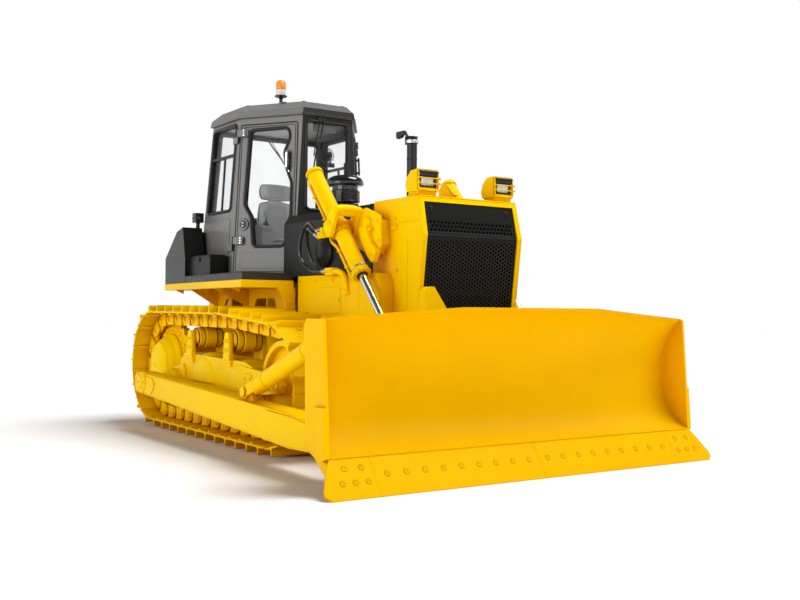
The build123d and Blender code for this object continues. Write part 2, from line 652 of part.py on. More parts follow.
def on_cyl(d, y=-CYL_Y):
    return (CYL_X + AX.X * d, y, CYL_Z + AX.Z * d)


with BuildPart() as cyl_yokes:
    # fork round the barrel and its bracket on the guard side
    a55 = math.radians(55)
    fx, fz = CYL_X + 160 * math.cos(a55), CYL_Z + 160 * math.sin(a55)
    for y0, y1 in ((-784, -756), (-584, -556)):
        with BuildSketch(xz(y1)) as s:
            with Locations((CYL_X, CYL_Z)):
                Circle(68)
            with BuildLine():
                tx, tz = -math.sin(a55), math.cos(a55)
                Polyline((CYL_X + 62 * tx, CYL_Z + 62 * tz), (fx + 30 * math.cos(a55) + 34 * tx, fz + 30 * math.sin(a55) + 34 * tz),
                         (fx + 30 * math.cos(a55) - 34 * tx, fz + 30 * math.sin(a55) - 34 * tz), (CYL_X - 62 * tx, CYL_Z - 62 * tz), close=True)
            make_face()
        extrude(s.sketch, amount=y1 - y0)
        rod_y(CYL_X, CYL_Z, 30.6, y0 - 1, y1 + 1, Mode.SUBTRACT)
    with BuildSketch(xz(-556)) as s:
        with Locations((fx, fz)):
            RectangleRounded(62, 66, 16, rotation=55)
    extrude(s.sketch, amount=228)
    slab_xz([(880, 1650), (860, 1760), (930, 1850), (1130, 1900), (1330, 1830), (1350, 1600), (1240, 1520), (960, 1620)], -557, -540.5)
    slab_xz([(1110, 1650), (1110, 1850), (1300, 1800), (1325, 1620), (1240, 1545)], -541, -460.5)
    mirror(about=Plane.XZ)
save(cyl_yokes, "cyl_yokes")

with BuildPart() as right_lift_barrel:
    rod(on_cyl(-642), on_cyl(478), 62.5)
    rod(on_cyl(-642), on_cyl(-612), 70)
    rod(on_cyl(-48), on_cyl(48), 77)
    rod(on_cyl(440), on_cyl(480), 70)
    rod(on_cyl(-618), on_cyl(452), 48, Mode.SUBTRACT)
    rod(on_cyl(400), on_cyl(500), 30.6, Mode.SUBTRACT)
    rod_y(CYL_X, CYL_Z, 30, -782, -725)
    rod_y(CYL_X, CYL_Z, 30, -615, -558)
save(right_lift_barrel, "right_lift_barrel")

with BuildPart() as left_lift_barrel:
    mirror(right_lift_barrel.part, about=Plane.XZ)
save(left_lift_barrel, "left_lift_barrel")

with BuildPart() as right_lift_rod:
    rod(on_cyl(70), on_cyl(EYE_D - 40), 30)
    rod(on_cyl(70), on_cyl(100), 47.4)
    rod_y(EYE_X, EYE_Z, 58, -CYL_Y - 40, -CYL_Y + 40)
    rod_y(EYE_X, EYE_Z, 32, -CYL_Y - 60, -CYL_Y + 60, Mode.SUBTRACT)
save(right_lift_rod, "right_lift_rod")

with BuildPart() as left_lift_rod:
    mirror(right_lift_rod.part, about=Plane.XZ)
save(left_lift_rod, "left_lift_rod")

# ---------------------------------------------------------------- push arms and braces
with BuildPart() as push_arms:
    with BuildSketch(xz(-(ARM_Y - 80))) as s:
        with BuildLine():
            Polyline((-1440, 358), (-1460, 390), (-1460, 500), (-1440, 531), (1590, 411), (1960, 372), (2010, 330),
                     (2010, 235), (1960, 190), (1590, 180), close=True)
        make_face()
    extrude(s.sketch, amount=160)
    rod_y(TR_X, TR_Z, 56, -1500, -1200, Mode.SUBTRACT)
    rod_y(TR_X, TR_Z, 96, -1442, -1428)
    rod_y(TR_X, TR_Z, 56, -1443, -1420, Mode.SUBTRACT)
    # brace lug on top
    slab_xz([(680, 420), (740, 545), (790, 562), (835, 540), (900, 420)], -ARM_Y - 15, -ARM_Y + 15)
    rod_y(BRACE_L[0], BRACE_L[1], 25.4, -1400, -1300, Mode.SUBTRACT)
    mirror(about=Plane.XZ)
save(push_arms, "push_arms")

BDX, BDZ = BRACE_U[0] - BRACE_L[0], BRACE_U[1] - BRACE_L[1]
BLEN = math.hypot(BDX, BDZ)
BDX, BDZ = BDX / BLEN, BDZ / BLEN


def on_brace(d, side=0.0):
    return (BRACE_L[0] + BDX * d - BDZ * side, BRACE_L[1] + BDZ * d + BDX * side)


with BuildPart() as braces:
    a, b = on_brace(150), on_brace(BLEN - 150)
    rod((a[0], -ARM_Y, a[1]), (b[0], -ARM_Y, b[1]), 64)
    for d0, d1 in ((0, 170), (BLEN, BLEN - 170)):
        for y0, y1 in ((-ARM_Y - 46, -ARM_Y - 17), (-ARM_Y + 17, -ARM_Y + 46)):
            slab_xz([on_brace(d0, -42), on_brace(d1, -42), on_brace(d1, 42), on_brace(d0, 42)], y0, y1)
            p = on_brace(d0)
            rod_y(p[0], p[1], 52, y0, y1)
        p = on_brace(d0)
        rod_y(p[0], p[1], 25, -ARM_Y - 58, -ARM_Y + 58)
    mirror(about=Plane.XZ)
save(braces, "braces")

# ---------------------------------------------------------------- blade
FACE_LOW, FACE_MID, FACE_TOP = (2413.0, 226.0), (2152.0, 660.0), (2337.0, 1068.0)


def circle_3(p, q, r):
    ax, ay, bx, by, cx, cy = *p, *q, *r
    d = 2 * (ax * (by - cy) + bx * (cy - ay) + cx * (ay - by))
    ux = ((ax * ax + ay * ay) * (by - cy) + (bx * bx + by * by) * (cy - ay) + (cx * cx + cy * cy) * (ay - by)) / d
    uy = ((ax * ax + ay * ay) * (cx - bx) + (bx * bx + by * by) * (ax - cx) + (cx * cx + cy * cy) * (bx - ax)) / d
    return ux, uy, math.hypot(ax - ux, ay - uy)


FC_X, FC_Z, FC_R = circle_3(FACE_LOW, FACE_MID, FACE_TOP)


def face_pt(z, back=0.0):
    r = FC_R + back
    return (FC_X - math.sqrt(r * r - (z - FC_Z) ** 2), z)


FOOT_L = math.hypot(BLADE_EDGE_X - 2413.0, 226.0)
FOOT_D = ((BLADE_EDGE_X - 2413.0) / FOOT_L, -226.0 / FOOT_L)
FOOT_N = (-FOOT_D[1], FOOT_D[0])

with BuildPart() as moldboard:
    # curved plate with its box beams behind
    with BuildSketch(xz(END_Y - 20)) as s:
        with BuildLine():
            Polyline(face_pt(1142), face_pt(1142, 24))
            ThreePointArc(face_pt(1142, 24), face_pt(700, 24), face_pt(420, 24))
            Polyline(face_pt(420, 24), (2165, 282), (2450, 74), (2413, 226))
            ThreePointArc((2413, 226), (2152, 660), face_pt(1142))
        make_face()
    extrude(s.sketch, amount=2 * (END_Y - 20))
    # upper box beam
    slab_xz([(2070, 905), (2070, 1030), (2250, 1030), (2190, 905)], -END_Y + 20, END_Y - 20)
    # ribs
    for y in (-1120.0, -340.0, 0.0, 340.0, 1120.0):
        slab_xz([(2180, 300), (2080, 560), (2075, 1000), (2300, 1000), (2400, 300)], y - 11, y + 11)
    # lift lugs
    for y in (-CYL_Y - 77, -CYL_Y + 53, CYL_Y - 77, CYL_Y + 53):
        slab_xz([(2230, 420), (2230, 950), (1985, 950), (1850, 830), (1780, 790), (1752, 730), (1780, 668), (1850, 630), (2000, 500)], y, y + 24)
    # push arm lugs and brace lugs
    for y in (-ARM_Y - 112, -ARM_Y + 84, ARM_Y - 112, ARM_Y + 84):
        slab_xz([(2230, 250), (2200, 560), (2030, 480), (1900, 372), (1880, 285), (1900, 205), (1960, 180), (2300, 200)], y, y + 28)
    for y in (-ARM_Y, ARM_Y):
        slab_xz([(2230, 860), (2230, 1040), (2090, 1040), (1990, 1008), (1945, 985), (1932, 950), (1950, 915), (1990, 902), (2070, 860)], y - 15, y + 15)
        rod_y(BRACE_U[0], BRACE_U[1], 25.4, y - 30, y + 30, Mode.SUBTRACT)
    # clear the room in front of the curved face
    with BuildSketch(xz(END_Y + 60)) as s:
        with BuildLine():
            ThreePointArc((2413, 226), (2152, 660), face_pt(1142))
            Polyline(face_pt(1142), (2900, 1142), (2900, 226), (2413, 226))
        make_face()
    extrude(s.sketch, amount=2 * (END_Y + 60), mode=Mode.SUBTRACT)
    # top line falls to both ends
    for sgn in (-1, 1):
        slab_yz([(sgn * 600, 1142.5), (sgn * 1700, 1062), (sgn * 1700, 1300), (sgn * 600, 1300)], 2000, 2600, Mode.SUBTRACT)
    # end plates and their wear strips
    for y0, y1 in ((-END_Y, -END_Y + 20), (END_Y - 20, END_Y)):
        slab_xz([(2338, 1066), (2352, 1052), (2415, 226), (2448, 74), (2165, 282), (2140, 320), (2120, 1030), (2140, 1066)], y0, y1)
    for y0, y1 in ((-END_Y - 18, -END_Y), (END_Y, END_Y + 18)):
        slab_xz([(2392, 530), (2416, 222), (2404, 206), (2310, 206), (2290, 530)], y0, y1)
    # seat for the cutting edge and end bits
    seat_a = (2413.0 + FOOT_D[0], 226.0 + FOOT_D[1])
    seat_b = (seat_a[0] - 22.5 * FOOT_N[0], seat_a[1] - 22.5 * FOOT_N[1])
    slab_xz([seat_a, seat_b, (seat_b[0] + 300 * FOOT_D[0], seat_b[1] + 300 * FOOT_D[1]),
             (seat_a[0] + 300 * FOOT_D[0] + 60 * FOOT_N[0], seat_a[1] + 300 * FOOT_D[1] + 60 * FOOT_N[1]),
             (seat_a[0] + 60 * FOOT_N[0], seat_a[1] + 60 * FOOT_N[1])], -1800, 1800, Mode.SUBTRACT)
save(moldboard, "moldboard")

EDGE_DIR = Vector(BLADE_EDGE_X - 2413.0, 0, -226.0).normalized()
# cutting edge lies in front of the lower beam on a plane from the tip up to the foot of the curve
EDGE_N = Vector(-EDGE_DIR.Z, 0, EDGE_DIR.X)
EDGE_PLANE = Plane(origin=(BLADE_EDGE_X, 0, 0), x_dir=(0, 1, 0), z_dir=EDGE_N)
EDGE_LEN = math.hypot(BLADE_EDGE_X - 2413.0, 226.0)


def edge_plate(pts, mode=Mode.ADD):
    # plate 22 thick behind the edge plane; points are (y, distance up from the tip line)
    with BuildSketch(EDGE_PLANE) as s:
        with BuildLine():
            Polyline(*pts, close=True)
        make_face()
    extrude(s.sketch, amount=-22, mode=mode)


V_UP = 1 if EDGE_PLANE.y_dir.Z > 0 else -1

with BuildPart() as cutting_edges:
    for y0, y1 in ((-1318.0, -1.0), (1.0, 1318.0)):
        edge_plate([(y0, 0), (y1, 0), (y1, V_UP * (EDGE_LEN - 2)), (y0, V_UP * (EDGE_LEN - 2))])
    block(2300, 2700, -1400, 1400, -100, 0, Mode.SUBTRACT)
save(cutting_edges, "cutting_edges")

with BuildPart() as end_bits:
    for s in (-1, 1):
        edge_plate([(s * 1320, 0), (s * 1660, 0), (s * 1694, V_UP * 34), (s * 1694, V_UP * 70), (s * 1630, V_UP * 225),
                    (s * 1600, V_UP * (EDGE_LEN - 2)), (s * 1320, V_UP * (EDGE_LEN - 2))])
    block(2300, 2700, -1800, 1800, -100, 0, Mode.SUBTRACT)
save(end_bits, "end_bits")

print("track line length", round(LOOP_LEN, 1), "pitch", round(LOOP_LEN / SHOES, 2))
print("rod eye distance", round(EYE_D, 1), "hinge point", hinge_point(0), "hinge dir", HINGE_DIR)
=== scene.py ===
import math

import bpy
import bmesh
from mathutils import Vector, Matrix


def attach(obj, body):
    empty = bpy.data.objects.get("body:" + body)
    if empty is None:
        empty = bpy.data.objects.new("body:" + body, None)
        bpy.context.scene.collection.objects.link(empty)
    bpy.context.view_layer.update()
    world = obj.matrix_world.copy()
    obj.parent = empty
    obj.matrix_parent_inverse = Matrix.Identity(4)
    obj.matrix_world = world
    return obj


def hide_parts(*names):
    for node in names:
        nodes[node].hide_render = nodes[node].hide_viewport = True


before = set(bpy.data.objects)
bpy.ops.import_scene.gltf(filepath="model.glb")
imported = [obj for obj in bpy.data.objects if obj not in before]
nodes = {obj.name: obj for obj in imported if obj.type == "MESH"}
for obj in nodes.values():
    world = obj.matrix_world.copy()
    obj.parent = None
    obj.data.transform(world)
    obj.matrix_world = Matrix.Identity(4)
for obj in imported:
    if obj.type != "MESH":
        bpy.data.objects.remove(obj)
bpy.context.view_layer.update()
scene = bpy.context.scene


# ------------------------------------------------------------------ materials
def tree(name):
    m = bpy.data.materials.new(name)
    m.use_nodes = True
    nt = m.node_tree
    nt.nodes.clear()
    out = nt.nodes.new("ShaderNodeOutputMaterial")
    return m, nt, out


def node(nt, kind, **values):
    n = nt.nodes.new(kind)
    for k, v in values.items():
        if hasattr(n, k):
            setattr(n, k, v)
        else:
            n.inputs[k.replace("_", " ")].default_value = v
    return n


def noise(nt, co, scale, detail=3.0, rough=0.55, squash=None):
    n = nt.nodes.new("ShaderNodeTexNoise")
    n.inputs["Scale"].default_value = scale
    n.inputs["Detail"].default_value = detail
    n.inputs["Roughness"].default_value = rough
    src = co
    if squash:
        mp = nt.nodes.new("ShaderNodeMapping")
        mp.inputs["Scale"].default_value = squash
        nt.links.new(co, mp.inputs["Vector"])
        src = mp.outputs["Vector"]
    nt.links.new(src, n.inputs["Vector"])
    return n.outputs["Fac"]


def spread(nt, fac, lo, hi, a=0.3, b=0.7):
    r = nt.nodes.new("ShaderNodeMapRange")
    r.inputs["From Min"].default_value = a
    r.inputs["From Max"].default_value = b
    r.inputs["To Min"].default_value = lo
    r.inputs["To Max"].default_value = hi
    nt.links.new(fac, r.inputs["Value"])
    return r.outputs["Result"]


def blend_col(nt, fac, c0, c1):
    x = nt.nodes.new("ShaderNodeMix")
    x.data_type = "RGBA"
    for sock, c in ((x.inputs[6], c0), (x.inputs[7], c1)):
        if isinstance(c, tuple):
            sock.default_value = (*c, 1.0)
        else:
            nt.links.new(c, sock)
    nt.links.new(fac, x.inputs[0])
    return x.outputs[2]


def solid_mat(name, col, painted_shade_col, rough=(0.3, 0.42), metal=0.0, spec=0.4, coat=0.0, coat_rough=0.1,
              vary=0.05, patch=1.8, grain=650.0, grain_h=0.0003, grain_s=0.12, bevel=0.0045, ao=0.25, sheen=0.0, ao_lo=0.25, tint=None):
    # paint, plastic, rubber or metal: slow colour drift, painted shade in corners, creases and under things (ambient
    # occlusion blends in the second, darker colour), fine surface grain, softened edges
    m, nt, out = tree(name)
    b = nt.nodes.new("ShaderNodeBsdfPrincipled")
    nt.links.new(b.outputs["BSDF"], out.inputs["Surface"])
    co = nt.nodes.new("ShaderNodeTexCoord").outputs["Object"]
    light = tuple(min(1.0, c * (1 + vary)) for c in col)
    dark = tuple(c * (1 - vary) for c in col)
    c = blend_col(nt, spread(nt, noise(nt, co, patch, 4.0), 0.0, 1.0), dark, light)
    # painted shade: where the surface is hemmed in, its colour goes over to the darker second colour
    if ao:
        a = nt.nodes.new("ShaderNodeAmbientOcclusion")
        a.samples = 6
        a.inputs["Distance"].default_value = ao
        c = blend_col(nt, spread(nt, a.outputs["AO"], 0.0, 1.0, ao_lo, 0.88), painted_shade_col, c)
    nt.links.new(c, b.inputs["Base Color"])
    nt.links.new(spread(nt, noise(nt, co, 38.0, 4.0), rough[0], rough[1]), b.inputs["Roughness"])
    bump = nt.nodes.new("ShaderNodeBump")
    bump.inputs["Strength"].default_value = grain_s
    bump.inputs["Distance"].default_value = grain_h
    nt.links.new(noise(nt, co, grain, 2.0), bump.inputs["Height"])
    if bevel:
        bv = nt.nodes.new("ShaderNodeBevel")
        bv.samples = 4
        bv.inputs["Radius"].default_value = bevel
        nt.links.new(bv.outputs["Normal"], bump.inputs["Normal"])
    nt.links.new(bump.outputs["Normal"], b.inputs["Normal"])
    b.inputs["Metallic"].default_value = metal
    b.inputs["Specular IOR Level"].default_value = spec
    b.inputs["Coat Weight"].default_value = coat
    b.inputs["Coat Roughness"].default_value = coat_rough
    b.inputs["Sheen Weight"].default_value = sheen
    if tint:
        b.inputs["Specular Tint"].default_value = (*tint, 1.0)
    return m


WARM = (1.0, 0.55, 0.0)
# the second colour of each paint below is its painted shade, laid into corners and creases wherever ao is not 0
YELLOW = solid_mat("yellow_enamel", (0.92, 0.572, 0.0), (0.80, 0.36, 0.0), rough=(0.28, 0.40), spec=0.04, vary=0.03, tint=WARM)
# painted shade: the blade gets a darker, more orange copy of the yellow enamel for the lesser light on its front
BLADE_YELLOW = solid_mat("yellow_on_blade_painted_shade", (0.90, 0.490, 0.0), (0.70, 0.28, 0.0), rough=(0.30, 0.42), spec=0.04, vary=0.025, tint=WARM)
# painted shade: dark yellow for the rings round the blade's plow bolts
BOLT_SHADE = solid_mat("yellow_bolt_rims_painted_shade", (0.50, 0.21, 0.0), (0.36, 0.12, 0.0), rough=(0.4, 0.55), spec=0.04, vary=0.05, tint=WARM)
# painted light: the castings get a brighter copy of the yellow enamel, with a shade colour close to it, for light they
# lack; the coarser grain is their real cast surface
YELLOW_CAST = solid_mat("yellow_on_castings_painted_light", (0.97, 0.640, 0.0), (0.94, 0.52, 0.0), rough=(0.30, 0.46), spec=0.05, vary=0.05,
                        grain=240.0, grain_h=0.0008, grain_s=0.2, tint=WARM)
TRACK_YELLOW = solid_mat("yellow_on_track", (0.93, 0.580, 0.0), (0.52, 0.14, 0.0), rough=(0.34, 0.50), spec=0.04, vary=0.06,
                         grain=180.0, grain_h=0.001, grain_s=0.2, ao=0.16, bevel=0.004, ao_lo=0.1, tint=WARM)
HOOD_GREY = solid_mat("hood_dark_paint", (0.016, 0.0156, 0.015), (0.006, 0.006, 0.006), rough=(0.28, 0.38), spec=0.12, vary=0.08, ao=0.15, grain_s=0.03)
CHARCOAL = solid_mat("charcoal_paint", (0.0085, 0.0082, 0.0080), (0.003, 0.003, 0.003), rough=(0.36, 0.5), spec=0.11, vary=0.12, ao=0.2, grain_s=0.04)
CAB_GREY = solid_mat("cab_dark_paint", (0.162, 0.160, 0.153), (0.044, 0.0433, 0.0415), rough=(0.30, 0.40), spec=0.42, coat=0.12, coat_rough=0.2, vary=0.05, ao=0.15, grain_s=0.03)
ROOF_GREY = solid_mat("roof_dark_paint", (0.200, 0.198, 0.190), (0.064, 0.063, 0.060), rough=(0.42, 0.55), spec=0.18, vary=0.05, ao=0.12, grain_s=0.03)
MESH_PAINT = solid_mat("charcoal_mesh_paint", (0.015, 0.0145, 0.0142), (0.005, 0.005, 0.005), rough=(0.34, 0.46), spec=0.15, vary=0.12, ao=0.06, grain_s=0.04)
GLOSS_BLACK = solid_mat("gloss_black_moulding", (0.010, 0.010, 0.0102), (0.004, 0.004, 0.004), rough=(0.10, 0.18), spec=0.5, coat=0.3, coat_rough=0.04, vary=0.1, ao=0, grain_s=0.01)
HOSE_RUBBER = solid_mat("hose_rubber", (0.011, 0.011, 0.011), (0.006, 0.006, 0.006), rough=(0.20, 0.30), spec=0.5, coat=0.3, coat_rough=0.12, vary=0.2, ao=0, bevel=0, grain=700, grain_s=0.05)
LINING = solid_mat("cab_lining", (0.60, 0.60, 0.59), (0.36, 0.36, 0.35), rough=(0.6, 0.8), spec=0.2, vary=0.05, ao=0.2, grain=420, grain_h=0.0008, grain_s=0.4)


def painted_shade_where(m, coord, axis, a, b, keep):
    # painted shade: the same paint made darker, its gloss lowered with it, where one coordinate of the surface passes
    # from a to b
    nt = m.node_tree
    bs = [n for n in nt.nodes if n.type == "BSDF_PRINCIPLED"][0]
    sep = nt.nodes.new("ShaderNodeSeparateXYZ")
    nt.links.new(nt.nodes.new("ShaderNodeTexCoord").outputs[coord], sep.inputs[0])
    f = spread(nt, sep.outputs[axis], 0.0, 1.0, a, b)
    mul = nt.nodes.new("ShaderNodeMix")
    mul.data_type = "RGBA"
    mul.blend_type = "MULTIPLY"
    mul.inputs[7].default_value = (keep, keep, keep, 1.0)
    nt.links.new(f, mul.inputs[0])
    nt.links.new(bs.inputs["Base Color"].links[0].from_socket, mul.inputs[6])
    nt.links.new(mul.outputs[2], bs.inputs["Base Color"])
    s = bs.inputs["Specular IOR Level"].default_value
    nt.links.new(spread(nt, f, s, s * keep, 0.0, 1.0), bs.inputs["Specular IOR Level"])


# painted shade: cab and roof faces turned to the front, the left half of the lining and the blade's upward faces are
# darkened for the shade they get
painted_shade_where(CAB_GREY, "Normal", 0, 0.66, 0.90, 0.18)
painted_shade_where(ROOF_GREY, "Normal", 0, 0.58, 0.84, 0.20)
painted_shade_where(LINING, "Object", 1, 0.0, 0.40, 0.18)
painted_shade_where(BLADE_YELLOW, "Normal", 2, 0.12, 0.62, 0.80)

BAND_WHITE = solid_mat("pale_band", (0.80, 0.79, 0.76), (0.5, 0.5, 0.48), rough=(0.2, 0.35), spec=0.4, vary=0.03, ao=0, bevel=0.001)
BLACK = solid_mat("black_paint", (0.012, 0.0118, 0.0115), (0.004, 0.004, 0.004), rough=(0.26, 0.38), spec=0.3, vary=0.15, ao=0.15, grain_s=0.03)
BLACK_PLASTIC = solid_mat("black_plastic", (0.011, 0.011, 0.0115), (0.004, 0.004, 0.004), rough=(0.22, 0.36), spec=0.42, vary=0.1, ao=0.1,
                          grain=1400.0, grain_h=0.0004, grain_s=0.35)
RUBBER = solid_mat("seal_rubber", (0.011, 0.011, 0.011), (0.005, 0.005, 0.005), rough=(0.38, 0.55), spec=0.4, vary=0.2, ao=0, bevel=0, grain=900, grain_s=0.2)
BRIGHT = solid_mat("bright_zinc", (0.62, 0.62, 0.60), (0.25, 0.25, 0.24), rough=(0.22, 0.38), metal=1.0, spec=0.5, vary=0.06, ao=0.05, bevel=0.001, grain=900, grain_s=0.1)
CAST_IRON = solid_mat("cast_iron_grey", (0.085, 0.083, 0.08), (0.02, 0.02, 0.02), rough=(0.5, 0.7), metal=0.6, vary=0.2, grain=160, grain_h=0.001, grain_s=0.4)
PLASTIC_GREY = solid_mat("interior_grey", (0.36, 0.36, 0.355), (0.18, 0.18, 0.178), rough=(0.45, 0.6), spec=0.35, vary=0.06, grain=1100, grain_h=0.0004, grain_s=0.4)


def chrome_mat():
    # hard chrome: fine grinding rings round the rod
    m, nt, out = tree("hard_chrome")
    b = nt.nodes.new("ShaderNodeBsdfPrincipled")
    nt.links.new(b.outputs["BSDF"], out.inputs["Surface"])
    co = nt.nodes.new("ShaderNodeTexCoord").outputs["Object"]
    c = blend_col(nt, spread(nt, noise(nt, co, 6.0, 3.0), 0.0, 1.0), (0.62, 0.66, 0.72), (0.82, 0.86, 0.92))
    nt.links.new(c, b.inputs["Base Color"])
    nt.links.new(spread(nt, noise(nt, co, 300.0, 2.0, squash=(1.0, 0.05, 1.0)), 0.06, 0.16), b.inputs["Roughness"])
    bump = nt.nodes.new("ShaderNodeBump")
    bump.inputs["Strength"].default_value = 0.05
    bump.inputs["Distance"].default_value = 0.0002
    nt.links.new(noise(nt, co, 900.0, 2.0), bump.inputs["Height"])
    nt.links.new(bump.outputs["Normal"], b.inputs["Normal"])
    b.inputs["Metallic"].default_value = 1.0
    return m


CHROME = chrome_mat()


def fabric_mat(name, col, painted_shade_col):
    # woven seat cloth: two crossing fine ribs with painted shade in their valleys, soft mottling, sheen
    m, nt, out = tree(name)
    b = nt.nodes.new("ShaderNodeBsdfPrincipled")
    nt.links.new(b.outputs["BSDF"], out.inputs["Surface"])
    co = nt.nodes.new("ShaderNodeTexCoord").outputs["Object"]
    waves = []
    for axis in ("Y", "Z"):
        w = nt.nodes.new("ShaderNodeTexWave")
        w.bands_direction = axis
        w.inputs["Scale"].default_value = 120.0
        w.inputs["Distortion"].default_value = 0.6
        nt.links.new(co, w.inputs["Vector"])
        waves.append(w.outputs["Fac"])
    mul = nt.nodes.new("ShaderNodeMath")
    mul.operation = "MULTIPLY"
    nt.links.new(waves[0], mul.inputs[0])
    nt.links.new(waves[1], mul.inputs[1])
    c1 = blend_col(nt, spread(nt, noise(nt, co, 14.0, 4.0), 0.0, 1.0), tuple(x * 0.85 for x in col), tuple(x * 1.12 for x in col))
    c = blend_col(nt, spread(nt, mul.outputs[0], 0.0, 1.0, 0.0, 0.5), painted_shade_col, c1)
    nt.links.new(c, b.inputs["Base Color"])
    nt.links.new(spread(nt, noise(nt, co, 60.0), 0.75, 0.92), b.inputs["Roughness"])
    bump = nt.nodes.new("ShaderNodeBump")
    bump.inputs["Strength"].default_value = 0.35
    bump.inputs["Distance"].default_value = 0.0012
    nt.links.new(mul.outputs[0], bump.inputs["Height"])
    nt.links.new(bump.outputs["Normal"], b.inputs["Normal"])
    b.inputs["Sheen Weight"].default_value = 0.35
    b.inputs["Specular IOR Level"].default_value = 0.2
    return m


SEAT_CLOTH = fabric_mat("seat_cloth", (0.66, 0.66, 0.65), (0.46, 0.46, 0.455))
SEAT_CENTRE = fabric_mat("seat_cloth_centre", (0.52, 0.52, 0.51), (0.35, 0.35, 0.345))


def glass_mat(name, tint, gloss_tint, strength=1.0):
    # clear pane: lets the view through, mirrors more at a glancing angle, faint dust
    m, nt, out = tree(name)
    co = nt.nodes.new("ShaderNodeTexCoord").outputs["Object"]
    t = nt.nodes.new("ShaderNodeBsdfTransparent")
    c = blend_col(nt, spread(nt, noise(nt, co, 5.0, 4.0), 0.0, 1.0), tuple(x * 0.975 for x in tint), tint)
    nt.links.new(c, t.inputs["Color"])
    g = nt.nodes.new("ShaderNodeBsdfGlossy")
    g.inputs["Color"].default_value = (*gloss_tint, 1.0)
    nt.links.new(spread(nt, noise(nt, co, 30.0, 4.0), 0.01, 0.05), g.inputs["Roughness"])
    f = nt.nodes.new("ShaderNodeLayerWeight")
    f.inputs["Blend"].default_value = 0.5
    pw = nt.nodes.new("ShaderNodeMath")
    pw.operation = "POWER"
    pw.inputs[1].default_value = 4.0
    nt.links.new(f.outputs["Facing"], pw.inputs[0])
    x = nt.nodes.new("ShaderNodeMixShader")
    nt.links.new(spread(nt, pw.outputs[0], 0.015, 0.55, 0.0, 1.0), x.inputs["Fac"])
    nt.links.new(t.outputs["BSDF"], x.inputs[1])
    nt.links.new(g.outputs["BSDF"], x.inputs[2])
    nt.links.new(x.outputs["Shader"], out.inputs["Surface"])
    return m


GLASS = glass_mat("cab_window_glass", (0.985, 0.99, 0.99), (0.55, 0.56, 0.56))
LAMP_GLASS = glass_mat("lamp_glass", (0.99, 0.99, 0.99), (0.9, 0.9, 0.92))
BOWL_CLEAR = glass_mat("clear_bowl", (0.80, 0.81, 0.80), (0.9, 0.9, 0.9))


def amber_mat():
    m, nt, out = tree("amber_dome")
    b = nt.nodes.new("ShaderNodeBsdfPrincipled")
    nt.links.new(b.outputs["BSDF"], out.inputs["Surface"])
    co = nt.nodes.new("ShaderNodeTexCoord").outputs["Object"]
    w = nt.nodes.new("ShaderNodeTexWave")
    w.bands_direction = "Z"
    w.inputs["Scale"].default_value = 28.0
    nt.links.new(co, w.inputs["Vector"])
    c = blend_col(nt, spread(nt, noise(nt, co, 18.0), 0.0, 1.0), (0.88, 0.25, 0.004), (0.98, 0.40, 0.01))
    nt.links.new(c, b.inputs["Base Color"])
    nt.links.new(spread(nt, w.outputs["Fac"], 0.08, 0.2, 0.0, 1.0), b.inputs["Roughness"])
    bump = nt.nodes.new("ShaderNodeBump")
    bump.inputs["Strength"].default_value = 0.5
    bump.inputs["Distance"].default_value = 0.003
    nt.links.new(w.outputs["Fac"], bump.inputs["Height"])
    nt.links.new(bump.outputs["Normal"], b.inputs["Normal"])
    b.inputs["Coat Weight"].default_value = 0.1
    b.inputs["Subsurface Weight"].default_value = 0.08
    b.inputs["Subsurface Radius"].default_value = (0.03, 0.01, 0.003)
    return m


AMBER = amber_mat()


def tread_mat():
    # deck plate: raised grip ribs in a diamond lay under black paint
    m, nt, out = tree("deck_tread_paint")
    b = nt.nodes.new("ShaderNodeBsdfPrincipled")
    nt.links.new(b.outputs["BSDF"], out.inputs["Surface"])
    co = nt.nodes.new("ShaderNodeTexCoord").outputs["Object"]
    hs = []
    for rot in (0.785, -0.785):
        mp = nt.nodes.new("ShaderNodeMapping")
        mp.inputs["Rotation"].default_value = (0, 0, rot)
        nt.links.new(co, mp.inputs["Vector"])
        w = nt.nodes.new("ShaderNodeTexWave")
        w.inputs["Scale"].default_value = 9.0
        nt.links.new(mp.outputs["Vector"], w.inputs["Vector"])
        hs.append(spread(nt, w.outputs["Fac"], 0.0, 1.0, 0.75, 0.95))
    mx = nt.nodes.new("ShaderNodeMath")
    mx.operation = "MAXIMUM"
    nt.links.new(hs[0], mx.inputs[0])
    nt.links.new(hs[1], mx.inputs[1])
    ge = nt.nodes.new("ShaderNodeNewGeometry")
    sp = nt.nodes.new("ShaderNodeSeparateXYZ")
    nt.links.new(ge.outputs["Normal"], sp.inputs[0])
    up = nt.nodes.new("ShaderNodeMath")
    up.operation = "MULTIPLY"
    nt.links.new(mx.outputs[0], up.inputs[0])
    nt.links.new(spread(nt, sp.outputs["Z"], 0.0, 1.0, 0.5, 0.9), up.inputs[1])
    c = blend_col(nt, up.outputs[0], (0.014, 0.0137, 0.0134), (0.035, 0.034, 0.033))
    nt.links.new(c, b.inputs["Base Color"])
    nt.links.new(spread(nt, noise(nt, co, 30.0), 0.4, 0.6), b.inputs["Roughness"])
    bump = nt.nodes.new("ShaderNodeBump")
    bump.inputs["Strength"].default_value = 0.6
    bump.inputs["Distance"].default_value = 0.003
    nt.links.new(up.outputs[0], bump.inputs["Height"])
    nt.links.new(bump.outputs["Normal"], b.inputs["Normal"])
    return m


TREAD = tread_mat()


